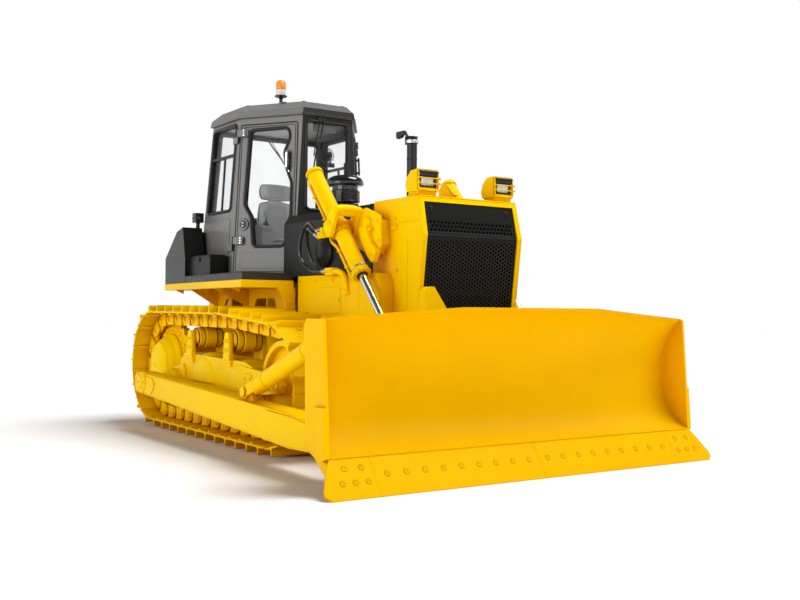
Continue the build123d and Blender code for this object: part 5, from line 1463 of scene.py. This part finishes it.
for pts, at in ((SIDE_WIN, side_at(-1)), (SIDE_WIN, side_at(1)), (FRONT_WIN, front_at), (REAR_WIN, rear_at)):
    seal(k, pts, 45, at, 1.0, 15)
    seal(k, pts, 45, at, -13.0, 9)
    seal(k, pts, 45, at, -46.0, 9)
for s in (-1, 1):
    at = side_at(s)
    k.prism([(-276, 1120), (248, 1120), (251, 1146), (-278, 1146)], at, -22, 3, cham=3)
    k.prism([(-24, 622), (-2, 622), (8, 1120), (-14, 1120)], at, -22, -8, cham=2)
    k.box(Vector(at(236, 905, 4)) - Vector((12, 8, 26)), Vector(at(236, 905, 4)) + Vector((12, 8, 26)), cham=4)
# weather strip round each door opening
for s in (-1, 1):
    grown = [(16, 10), (620, 10), (654, 560), (658, 1000), (656, 1400), (54, 1400)]
    seal(k, grown, 26, door_at(s), -4, 6.5)
# rubber skirt round the foot of the cab
foot = [(-432, -302), (-432, 302), (-983, 702), (-1737, 702), (-1737, -702), (-983, -702)]
k.tube([(x, y, 1440) for x, y in round_poly(foot, 30, 5)], 15, 8, closed=True)
k.make("cab_window_seals", [RUBBER], "chassis")

# roof: drip rail and a thinner bead above it, ribs, bolts
k = Kit()


def cab_hex(z, inset):
    f = (2890.0 - z) / 1460.0
    xf = -432.0 - inset
    yside = 625.0 + 75.0 * f - inset
    c = -17.0 + 65.0 * f - inset
    xr = -1595.0 - 140.0 * f + inset
    return [(xf, -(c - 0.547 * xf) / 0.8371), (xf, (c - 0.547 * xf) / 0.8371), ((c - 0.8371 * yside) / 0.547, yside), (xr, yside),
            (xr, -yside), ((c - 0.8371 * yside) / 0.547, -yside)]


k.tube([(x, y, 2898) for x, y in round_poly(cab_hex(2898, -20), 30, 5)], 9, 8, closed=True)
k.tube([(x, y, 2952) for x, y in round_poly(cab_hex(2952, -12), 30, 5)], 4, 8, closed=True)
for y in (-330, -110, 110, 330):
    k.prism(round_poly([(-1480, y - 26), (-640, y - 26), (-640, y + 26), (-1480, y + 26)], 24), at_xy, 3020, 3030, cham=4)
for (x, y) in cab_hex(3022, 95):
    k.lathe((x, y, 3020), (0, 0, 1), [(0, 0), (0, 24), (8, 23), (12, 16), (12, 8), (6, 6), (6, 0)], 20)
# lifting loops
for x, y in ((-640, 0), (-1560, 300), (-1560, -300)):
    pts = [(x, y + 34 * math.cos(a), 3018 + 34 * math.sin(a)) for a in [math.pi * i / 14 for i in range(15)]]
    k.tube(pts, 7, 8)
# posts: hinge leaf bolts, lower panel creases
for s in (-1, 1):
    at = side_at(s)
    k.prism(round_poly([(-350, 60), (230, 60), (230, 540), (-340, 540)], 30), at, -1, 4, 2, cham=3)
    for h in (288.0, 1290.0):
        for i in range(3):
            z = h - 52 + i * 20
            p = at(240, z - 4, 6)
            k.bolt(p, (0, s, 0.05), af=16, h=8, mat=1, washer=False)
k.make("cab_roof_and_posts", [ROOF_GREY, BRIGHT, CAB_GREY], "chassis")

# doors: glass bead, frame pressing, catch, handle plate, hinge bolts, key barrel
for s, side in ((-1, "right"), (1, "left")):
    at = door_at(s)
    n_out = Vector((N.x, s * -N.y if s > 0 else N.y, N.z))
    k = Kit()
    seal(k, DOOR_GLASS, DOOR_GLASS_R, at, 1.0, 14)
    seal(k, DOOR_GLASS, DOOR_GLASS_R, at, -13.0, 8)
    seal(k, DOOR_GLASS, DOOR_GLASS_R, at, -46.0, 8)
    seal(k, [(40, 34), (598, 34), (630, 560), (634, 1000), (632, 1376), (74, 1376)], 24, at, 0.5, 3.2)
    k.make("door_seals_" + side, [RUBBER], side + "_door")
    k = Kit()
    # raised round catch plate and its two screws
    k.prism([(118 + 56 * math.cos(a), 470 + 56 * math.sin(a)) for a in [2 * math.pi * i / 32 for i in range(32)]], at, -1, 12, cham=5)
    k.prism([(118 + 34 * math.cos(a), 470 + 34 * math.sin(a)) for a in [2 * math.pi * i / 28 for i in range(28)]], at, 10, 20, 2, cham=3)
    for dv in (-14, 14):
        k.bolt(at(118, 470 + dv, 20), n_out, af=17, h=8, mat=1, washer=False, round_head=True)
    # door leaf of both hinges: backing plate and bolts
    for h in (288.0, 1290.0):
        k.prism(round_poly([(34, h - 4), (128, h - 4), (128, h + 66), (34, h + 66)], 10), at, 24, 28, cham=1.5)
        for i in range(3):
            k.bolt(at(104, h + 8 + i * 23, 28), n_out, af=17, h=9, mat=1, washer=False)
        p0 = Vector((-974.756, -713.381, 1430.71)) + Vector((-0.002805, 0.051302, 0.998679)) * (h + 64)
        k.lathe((p0.x, -s * p0.y if s > 0 else p0.y, p0.z), (-0.002805, -s * 0.051302 if s > 0 else 0.051302, 0.998679), [(-2, 0), (-2, 12.5), (3, 12), (5, 8), (5, 0)], 20)
    # handle: escutcheon, bright bar, key barrel
    k.prism(round_poly([(552, 930), (594, 930), (594, 1140), (552, 1140)], 16), at, -1, 5, 2, cham=2)
    k.prism(round_poly([(562, 975), (582, 975), (582, 1115), (562, 1115)], 9), at, 50, 54, 1, cham=2)
    k.lathe(at(573, 948, 4), n_out, [(0, 0), (0, 11), (6, 10), (7, 5), (7, 0)], 18, 1)
    # pressed crease in the lower panel
    k.prism(round_poly([(80, 60), (590, 60), (606, 210), (110, 214)], 24), at, -1, 3.5, cham=2.5)
    # inner pull rail
    k.tube(smooth_path([at(600, 700, -44), at(600, 706, -84), at(600, 740, -92), at(604, 1040, -92), at(604, 1075, -84), at(604, 1080, -44)], 6), 8, 10, 2)
    k.make("door_fittings_" + side, [CAB_GREY, BRIGHT, BLACK_PLASTIC], side + "_door")

# wipers and washer
k = Kit()


def wiper(base, tip, out, blade0, blade1):
    base, tip, out = Vector(base), Vector(tip), Vector(out)
    k.lathe(base, out, [(-6, 0), (-6, 20), (12, 20), (18, 14), (18, 0)], 20)
    k.tube(smooth_path([base + out * 14, base + (tip - base) * 0.3 + out * 26, base + (tip - base) * 0.7 + out * 22, tip + out * 14], 5), 7.5, 10)
    k.tube([Vector(blade0) + out * 10, Vector(blade1) + out * 10], 7.5, 10)
    k.tube([Vector(blade0) + out * 2, Vector(blade1) + out * 2], 3, 6)


wiper((-430, -52, 2864), (-430, -132, 2500), (1, 0, 0), (-430, -112, 2650), (-430, -172, 2290))
k.tube(smooth_path([(-418, -90, 2862), (-408, -106, 2790), (-408, -146, 2600), (-416, -152, 2520)], 5), 6, 10)
k.box((-432, -112, 2846), (-416, -30, 2882), cham=5)
REAR_OUT = Vector((-1, 0, 0.096)).normalized()
wiper(rear_at(40, 1436, 0), rear_at(-150, 1222, 0), REAR_OUT, rear_at(-84, 1300, 0), rear_at(-236, 1110, 0))
k.tube([Vector(rear_at(10, 1436, 0)) + REAR_OUT * 16, Vector(rear_at(-128, 1262, 0)) + REAR_OUT * 18], 4, 8)
k.make("wipers", [BLACK_PLASTIC], "chassis")

# cab inside: headliner, lining, dash, levers, pedals, fan, mat
k = Kit()
k.prism([(x, y) for x, y in cab_hex(2870, 60)], at_xy, 2858, 2886, 3, cham=8)
k.prism([(x, y) for x, y in cab_hex(1432, 55)], at_xy, 1428, 1434, 1, cham=2)
for i in range(14):
    x = -1500 + i * 62
    if not -1415 < x < -1035:
        k.box((x, -300, 1433), (x + 18, 300, 1438), 1, cham=1.5)
# dash hood, panel face, round dials without print, switches
k.prism(round_poly([(-668, 1868), (-562, 2002), (-480, 2002), (-480, 1960), (-560, 1960), (-640, 1866)], 8), at_xz, -206, 206, 0, cham=6)
dn = Vector((-95, 0, 80)).normalized()
for y, r in ((-120, 34), (-30, 34), (60, 34), (135, 22)):
    p = Vector((-606, y, 1930)) + dn * 12
    k.ring(p, dn, r - 5, r, 12, 32, 1)
    k.lathe(p, dn, [(-6, 0), (-6, r - 4), (-3, r - 5), (-3, 0)], 28, 2)
for i in range(6):
    p = Vector((-636, -150 + i * 56, 1890)) + dn * 8
    k.box(p - Vector((8, 10, 8)), p + Vector((8, 10, 8)), 1, cham=3)
# arm rests with levers
for s in (-1, 1):
    k.prism(round_poly([(-1500, 1862), (-970, 1862), (-960, 1890), (-1000, 1916), (-1470, 1916), (-1505, 1895)], 16), at_xz, s * 275, s * 395, 0, cham=10)
    x = -1010
    k.lathe((x, s * 336, 1914), (0, 0, 1), [(0, 0), (0, 38), (8, 34), (22, 22), (44, 15), (46, 0)], 24, 1)
    k.tube(smooth_path([(x, s * 336, 1950), (x + 4, s * 336, 1968), (x + 7, s * 335, 1990)], 5), 8, 10, 1)
    k.lathe((x + 7, s * 335, 1984), (0.1, 0, 1), [(0, 0), (0, 14), (14, 22), (36, 25), (54, 22), (64, 13), (67, 0)], 24, 0)
# pedals
for y in (-110, 20, 130):
    k.box((-676, y - 34, 1500), (-660, y + 34, 1590), 1, cham=6, rot=Matrix.Rotation(math.radians(-24), 3, "Y"))
    k.tube([(-655, y, 1560), (-642, y, 1640)], 8, 8, 1)
# fan on the front post: cage rings, blades, motor
FP = Vector((-560, 66, 2560))
for r in (20, 45, 66):
    k.ring(FP + Vector((-22, 0, 0)), (1, 0.1, 0), r - 2.2, r + 2.2, 4.4, 28, 1)
    k.ring(FP + Vector((20, 0, 0)), (1, 0.1, 0), r - 2.2, r + 2.2, 4.4, 28, 1)
for i in range(16):
    a = 2 * math.pi * i / 16
    c, sn = math.cos(a), math.sin(a)
    k.tube([FP + Vector((-22, 8 * c, 8 * sn)), FP + Vector((-24, 40 * c, 40 * sn)), FP + Vector((-16, 66 * c, 66 * sn)), FP + Vector((14, 66 * c, 66 * sn)), FP + Vector((20, 44 * c, 44 * sn))], 1.8, 6, 1)
for i in range(5):
    a = 2 * math.pi * i / 5
    c, sn = math.cos(a), math.sin(a)
    c2, s2 = math.cos(a + 0.7), math.sin(a + 0.7)
    v = [FP + Vector((-8, 12 * c, 12 * sn)), FP + Vector((-4, 58 * c, 58 * sn)), FP + Vector((8, 58 * c2, 58 * s2)), FP + Vector((6, 12 * c2, 12 * s2))]
    v += [p + Vector((2.5, 0, 0)) for p in v]
    k.add(v, [(0, 1, 2, 3), (7, 6, 5, 4), (0, 4, 5, 1), (1, 5, 6, 2), (2, 6, 7, 3), (3, 7, 4, 0)], 1)
k.lathe(FP + Vector((20, 0, 0)), (1, 0, 0), [(0, 0), (0, 30), (34, 28), (46, 18), (48, 0)], 24, 1)
k.tube(smooth_path([FP + Vector((40, 0, -20)), FP + Vector((58, 0, -60)), FP + Vector((72, 0, -90))], 6), 7, 8, 1)
k.box((-494, 30, 2440), (-478, 102, 2480), 1, cham=3)
# inside mirror and sun visor
k.box((-500, -120, 2760), (-488, 120, 2850), 0, cham=5)
k.make("cab_interior", [PLASTIC_GREY, BLACK_PLASTIC, CHARCOAL, LINING], "chassis")


# ------------------------------------------------------------------ seat: crowned pads with sewn channels and piping
def pad(name, w, d, h, place, mat_side, mat_top, crown=1.0, channels=(), waist=0.0, taper=0.0, round_c=0.2):
    # superelliptic slab: w across, d along, h thick; grooves where the channels are sewn
    nu, nv, nw = 44, 44, 6
    verts, faces, mats = [], [], []

    def shape(a, b):
        # a, b from -1 to 1 on the face, gives place on a rounded square
        ex = a * math.sqrt(max(0.0, 1 - round_c * b * b))
        ey = b * math.sqrt(max(0.0, 1 - round_c * a * a))
        return ex, ey

    def rise(a, b):
        e = (1 - a ** 4) * (1 - b ** 4)
        z = 0.55 + 0.45 * max(0.0, e) ** 0.45
        for axis, pos, depth, width in channels:
            q = a if axis == "a" else b
            z -= depth * math.exp(-((q - pos) / width) ** 2) * max(0.0, e) ** 0.3
        return z

    for side in (1, -1):
        base = len(verts)
        for i in range(nu + 1):
            for j in range(nv + 1):
                a, b = -1 + 2 * i / nu, -1 + 2 * j / nv
                ex, ey = shape(a, b)
                pull = 1 - waist * (1 - ey * ey) * abs(ex) - taper * (ey + 1) / 2
                zz = (rise(a, b) if side > 0 else (0.55 + 0.2 * max(0.0, (1 - a ** 4) * (1 - b ** 4)) ** 0.5)) * h / 2
                edge = max(abs(a), abs(b))
                if edge > 0.995:
                    zz = 0.30 * h / 2
                verts.append(place(ex * pull * w / 2, ey * d / 2, side * zz * (crown if side > 0 else 1.0)))
        for i in range(nu):
            for j in range(nv):
                p = base + i * (nv + 1) + j
                faces.append((p, p + 1, p + nv + 2, p + nv + 1))
                ca, cb = -1 + 2 * (i + 0.5) / nu, -1 + 2 * (j + 0.5) / nv
                mats.append(1 if side > 0 and abs(ca) < 0.55 and abs(cb) < 0.86 else 0)
    n = (nu + 1) * (nv + 1)
    ring = [i * (nv + 1) for i in range(nu + 1)] + [nu * (nv + 1) + j for j in range(1, nv + 1)] + \
           [i * (nv + 1) + nv for i in range(nu - 1, -1, -1)] + [j for j in range(nv - 1, 0, -1)]
    for q in range(len(ring)):
        a, b = ring[q], ring[(q + 1) % len(ring)]
        faces.append((a, b, b + n, a + n))
        mats.append(0)
    me = bpy.data.meshes.new(name)
    me.from_pydata([(x * 0.001, y * 0.001, z * 0.001) for x, y, z in verts], [], faces)
    me.materials.append(mat_side)
    me.materials.append(mat_top)
    me.polygons.foreach_set("material_index", mats)
    bm = bmesh.new()
    bm.from_mesh(me)
    bmesh.ops.remove_doubles(bm, verts=bm.verts, dist=0.0002)
    bmesh.ops.recalc_face_normals(bm, faces=bm.faces)
    bm.to_mesh(me)
    bm.free()
    me.shade_smooth()
    ob = bpy.data.objects.new(name, me)
    scene.collection.objects.link(ob)
    sub = ob.modifiers.new("round", "SUBSURF")
    sub.levels = 1
    sub.render_levels = 1
    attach(ob, "chassis")
    return ob, [verts[i] for i in ring]


def seat_frame(origin, along, face):
    o, al, fa = Vector(origin), Vector(along).normalized(), Vector(face).normalized()
    ac = al.cross(fa)

    def place(x, y, z):
        p = o + ac * x + al * y + fa * z
        return (p.x, p.y, p.z)
    return place


CUSHION, r1 = pad("seat_cushion", 440, 450, 104, seat_frame((-1200, 0, 1752), (1, 0, 0.02), (0, 0, 1)), SEAT_CLOTH, SEAT_CENTRE,
                  channels=(("a", -0.56, 0.30, 0.035), ("a", 0.56, 0.30, 0.035), ("b", 0.35, 0.16, 0.03), ("b", -0.25, 0.16, 0.03)), waist=0.03)
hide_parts("seat")
BACK, r2 = pad("seat_back", 450, 424, 104, seat_frame((-1462, 0, 1986), (-0.13, 0, 1), (1, 0, 0.13)), SEAT_CLOTH, SEAT_CENTRE,
               channels=(("a", -0.56, 0.34, 0.035), ("a", 0.56, 0.34, 0.035), ("b", -0.3, 0.18, 0.03), ("b", 0.15, 0.18, 0.03), ("b", 0.6, 0.14, 0.03)), waist=0.05, taper=0.10, round_c=0.26)
HEAD, r3 = pad("seat_headrest", 344, 158, 92, seat_frame((-1496, 0, 2288), (-0.06, 0, 1), (1, 0, 0.06)), SEAT_CLOTH, SEAT_CENTRE,
               channels=(("b", -0.72, 0.22, 0.06), ("a", -0.8, 0.2, 0.05), ("a", 0.8, 0.2, 0.05)), round_c=0.24)
k = Kit()
for ring in (r1, r2, r3):
    k.tube(ring, 5.0, 8, closed=True)
for y in (-62, 62):
    k.tube([(-1500, y, 2196), (-1499, y, 2250)], 7, 10, 1)
k.prism(round_poly([(-1415, 1640), (-1010, 1640), (-970, 1700), (-1440, 1700)], 20), at_xz, -205, 205, 1, cham=8)
k.make("seat_piping_and_pan", [CHARCOAL, PLASTIC_GREY], "chassis")

# ------------------------------------------------------------------ platform, tank, rear
k = Kit()
for s in (-1, 1):
    edge = lambda x: 1092.0 + (x - 77.0) * (231.0 / 2315.0)
    # rolled edge of the yellow platform
    k.tube([(76, s * (edge(76) - 4), 1304), (-2236, s * (edge(-2236) - 4), 1304)], 6, 8)
    # fold corner and small stiffeners along the side
    for x in (-200, -640, -1080, -1860):
        k.prism([(s * (edge(x) - 90), 1301), (s * (edge(x) - 6), 1301), (s * (edge(x) - 6), 1296), (s * (edge(x) - 90), 1262)], at_yz, x - 5, x + 5)
    # lips round the cut-outs in the side wall
    for cx in (-1090, -440):
        pts = round_poly([(cx - 215, 1020), (cx + 215, 1020), (cx + 215, 1220), (cx - 215, 1220)], 85, 8)
        k.tube([(x, s * 616, z) for x, z in pts], 7, 8, closed=True)
    for x in (-1400, -760, -140, 20):
        for z in (1040, 1260):
            k.bolt((x, s * 616, z), (0, s, 0), af=18, h=9)
    for z in (1060, 1180):
        k.bolt((77, s * 640, z), (1, 0, 0), af=18, h=9)
k.make("platform_fittings", [YELLOW], "chassis")

k = Kit()
for s in (-1, 1):
    edge = lambda x: 1092.0 + (x - 77.0) * (231.0 / 2315.0) - 6
    # deck edge bead, side box lid with hinge and latch
    k.tube([(70, s * edge(70), 1424), (-1540, s * edge(-1540), 1424)], 4, 8)
    k.prism(round_poly([(-1530, s * 728), (-1050, s * 728), (-1050, s * 879), (-1530, s * 879)], 14), at_xy, 1611, 1620, cham=3)
    k.tube([(-1525, s * 884, 1600), (-1055, s * 884, 1600)], 6, 8)
    k.box((-1320, s * 884, 1560), (-1270, s * 893, 1606), cham=3)
    k.lathe((-1295, s * 892, 1582), (0, s, 0), [(0, 0), (0, 12), (5, 11), (6, 0)], 16)
    # tank: seam bead
    k.tube([(-2234, s * (edge(-2234) - 0), 1618), (-1832, s * (edge(-1832)), 1866)], 4, 6)
    k.tube([(-1830, s * (edge(-1830)), 1868), (-1626, s * (edge(-1626)), 1903)], 4, 6)
    k.tube([(-1624, s * (edge(-1624)), 1902), (-1544, s * (edge(-1544)), 1612)], 4, 6)
    # rear step treads
    for z in (1430, 1560):
        k.box((-2290, s * 700 - 110, z), (-2236, s * 700 + 110, z + 26), cham=4)
        for i in range(5):
            y = s * 700 - 90 + i * 45
            k.box((-2288, y - 4, z + 26), (-2240, y + 4, z + 32), cham=1.5)
# tank top: filler cap, strainer neck, breather, plates
k.lathe((-1950, 560, 1868), (0, 0, 1), [(0, 0), (0, 76), (6, 78), (26, 76), (32, 70), (36, 30), (42, 26), (44, 0)], 40)
for i in range(12):
    a = 2 * math.pi * i / 12
    k.box((-1950 + 76 * math.cos(a) - 5, 560 + 76 * math.sin(a) - 5, 1872), (-1950 + 76 * math.cos(a) + 5, 560 + 76 * math.sin(a) + 5, 1892), cham=2)
for y in (-500, 0):
    k.prism(round_poly([(-2060, y - 150), (-1880, y - 150), (-1880, y + 150), (-2060, y + 150)], 20), lambda u, v, w: (u, v, 1620 + (u + 2236) * (250.0 / 406.0) + w), 0, 8, cham=3)
    for dx in (-2044, -1896):
        for dy in (-130, 0, 130):
            k.bolt((dx, y + dy, 1620 + (dx + 2236) * (250.0 / 406.0) + 8), (-0.52, 0, 0.85), af=15, h=7)
# rear wall of the tank: pressed panel, row of bolts
k.prism(round_poly([(-760, 1400), (760, 1400), (760, 1590), (-760, 1590)], 30), at_yz, -2236, -2243, cham=3)
for y in range(-720, 721, 160):
    k.bolt((-2243, y, 1415), (-1, 0, 0), af=14, h=7)
k.make("tank_fittings", [HOOD_GREY], "chassis")

k = Kit()
# rear case: inspection cover, bolt flange, hydraulic couplers, tow pin with chain, lights
k.ring((-2121, 0, 980), (1, 0, 0), 96, 122, 14, 48)
k.lathe((-2120, 0, 980), (-1, 0, 0), [(0, 0), (0, 96), (8, 94), (14, 60), (22, 54), (22, 0)], 44)
for i in range(8):
    a = 2 * math.pi * i / 8
    k.bolt((-2128, 109 * math.cos(a), 980 + 109 * math.sin(a)), (-1, 0, 0), af=17, h=9)
for y in (-400, -250, 250, 400):
    for z in (480, 1040):
        k.bolt((-2120, y, z), (-1, 0, 0), af=24, h=12)
for s in (-1, 1):
    k.tube([(-2118, s * 447, 440), (-2118, s * 447, 1075), (-1962, s * 447, 1296)], 6, 8)
    for z in (560, 700, 840, 980, 1120):
        k.bolt((-1800, s * 449, z), (0, s, 0), af=22, h=11)
# tow pin
k.lathe((-2502, 0, 495), (0, 0, 1), [(-6, 0), (-6, 20), (0, 24), (92, 24), (92, 44), (104, 46), (112, 40), (114, 0)], 32)
k.tube(smooth_path([(-2502, -14, 610), (-2502, -22, 640), (-2502, 0, 658), (-2502, 22, 640), (-2502, 14, 610)], 6), 6, 8)
for y in (-140, 140):
    k.bolt((-2330, y, 590), (-1, 0, 0), af=26, h=13)
k.box((-2332, -186, 480), (-2326, 186, 500), cham=2)
k.make("rear_fittings", [YELLOW_CAST], "chassis")

k = Kit()
for s in (-1, 1):
    yc = s * 747.5
    k.ring((-1712, yc, 2005), (1, 0, 0), 32, 40, 16, 40)
    k.lathe((-1706, yc, 2005), (-1, 0, 0), [(0, 0), (0, 33), (4, 32), (8, 20), (9, 0)], 32, 1)
    k.lathe((-1622, yc, 2005), (1, 0, 0), [(0, 0), (0, 32), (14, 25), (20, 9), (20, 0)], 28)
    k.bolt((-1663, yc + s * 15, 1940), (0, s, 0), af=15, h=8, mat=2)
    # red tail lens below on the tank rear
    k.box((-2250, s * 640 - 60, 1500), (-2236, s * 640 + 60, 1545), 0, cham=4)
    k.box((-2256, s * 640 - 52, 1507), (-2249, s * 640 + 52, 1538), 3, cham=3)
k.make("rear_lamp_fittings", [BLACK_PLASTIC, REFLECTOR, BRIGHT, RED_LENS], "chassis")

# ------------------------------------------------------------------ floor, light, camera
fl = bpy.data.meshes.new("studio_floor")
R = 60.0
n = 48
vs = [(R * math.cos(2 * math.pi * i / n), R * math.sin(2 * math.pi * i / n), -0.0015) for i in range(n)]
fl.from_pydata(vs, [], [tuple(range(n))])
m, nt, out = tree("pale_floor")
b = nt.nodes.new("ShaderNodeBsdfPrincipled")
nt.links.new(b.outputs["BSDF"], out.inputs["Surface"])
co = nt.nodes.new("ShaderNodeTexCoord").outputs["Object"]
nt.links.new(blend_col(nt, spread(nt, noise(nt, co, 0.4, 3.0), 0.0, 1.0), (0.82, 0.82, 0.82), (0.84, 0.84, 0.84)), b.inputs["Base Color"])
b.inputs["Roughness"].default_value = 0.9
b.inputs["Specular IOR Level"].default_value = 0.1
fl.materials.append(m)
floor = bpy.data.objects.new("studio_floor", fl)
scene.collection.objects.link(floor)

world = bpy.data.worlds.new("studio")
scene.world = world
world.use_nodes = True
wn = world.node_tree
bg = wn.nodes["Background"]
co = wn.nodes.new("ShaderNodeTexCoord").outputs["Generated"]
sp = wn.nodes.new("ShaderNodeSeparateXYZ")
wn.links.new(co, sp.inputs[0])
wn.links.new(spread(wn, sp.outputs["Z"], 1.02, 0.10, 0.33, 0.46), bg.inputs["Strength"])
bg.inputs["Color"].default_value = (1.0, 1.0, 1.0, 1.0)


def area(name, loc, target, size, power, col=(1, 1, 1)):
    l = bpy.data.lights.new(name, "AREA")
    l.shape = "DISK"
    l.size = size
    l.energy = power
    l.color = col
    o = bpy.data.objects.new(name, l)
    scene.collection.objects.link(o)
    o.location = loc
    d = Vector(target) - Vector(loc)
    o.rotation_euler = d.to_track_quat("-Z", "Y").to_euler()
    return o


sun = bpy.data.lights.new("top_box", "SUN")
sun.energy = 3.5
sun.angle = math.radians(34.0)
so = bpy.data.objects.new("top_box", sun)
scene.collection.objects.link(so)
so.rotation_euler = Vector((-0.20, -0.42, -0.885)).to_track_quat("-Z", "Y").to_euler()
area("side_box", (2.0, -12.5, 2.6), (-0.3, -0.5, 1.2), 9.0, 590)
area("front_box", (12.5, 1.5, 3.0), (1.5, 0.0, 0.8), 6.0, 100)

scene.view_settings.view_transform = "Standard"
scene.view_settings.look = "None"

yaw, pitch, roll = math.radians(146.12957), math.radians(0.552698), math.radians(0.49771)
fwd = Vector((math.cos(yaw) * math.cos(pitch), math.sin(yaw) * math.cos(pitch), math.sin(pitch)))
right = Vector((math.sin(yaw), -math.cos(yaw), 0))
up = right.cross(fwd)
r2 = right * math.cos(roll) + up * math.sin(roll)
u2 = -right * math.sin(roll) + up * math.cos(roll)
cam = bpy.data.cameras.new("photo_camera")
cam.sensor_fit = "HORIZONTAL"
cam.sensor_width = 36.0
cam.lens = 1015.926 / 800.0 * 36.0
cam.shift_x = (400.0 - 399.07) / 800.0
cam.clip_end = 200.0
co_ = bpy.data.objects.new("photo_camera", cam)
scene.collection.objects.link(co_)
co_.matrix_world = Matrix(((r2.x, u2.x, -fwd.x, 9.50658 - 1.810), (r2.y, u2.y, -fwd.y, -4.65026), (r2.z, u2.z, -fwd.z, 1.12416), (0, 0, 0, 1)))
scene.camera = co_

bpy.context.view_layer.update()
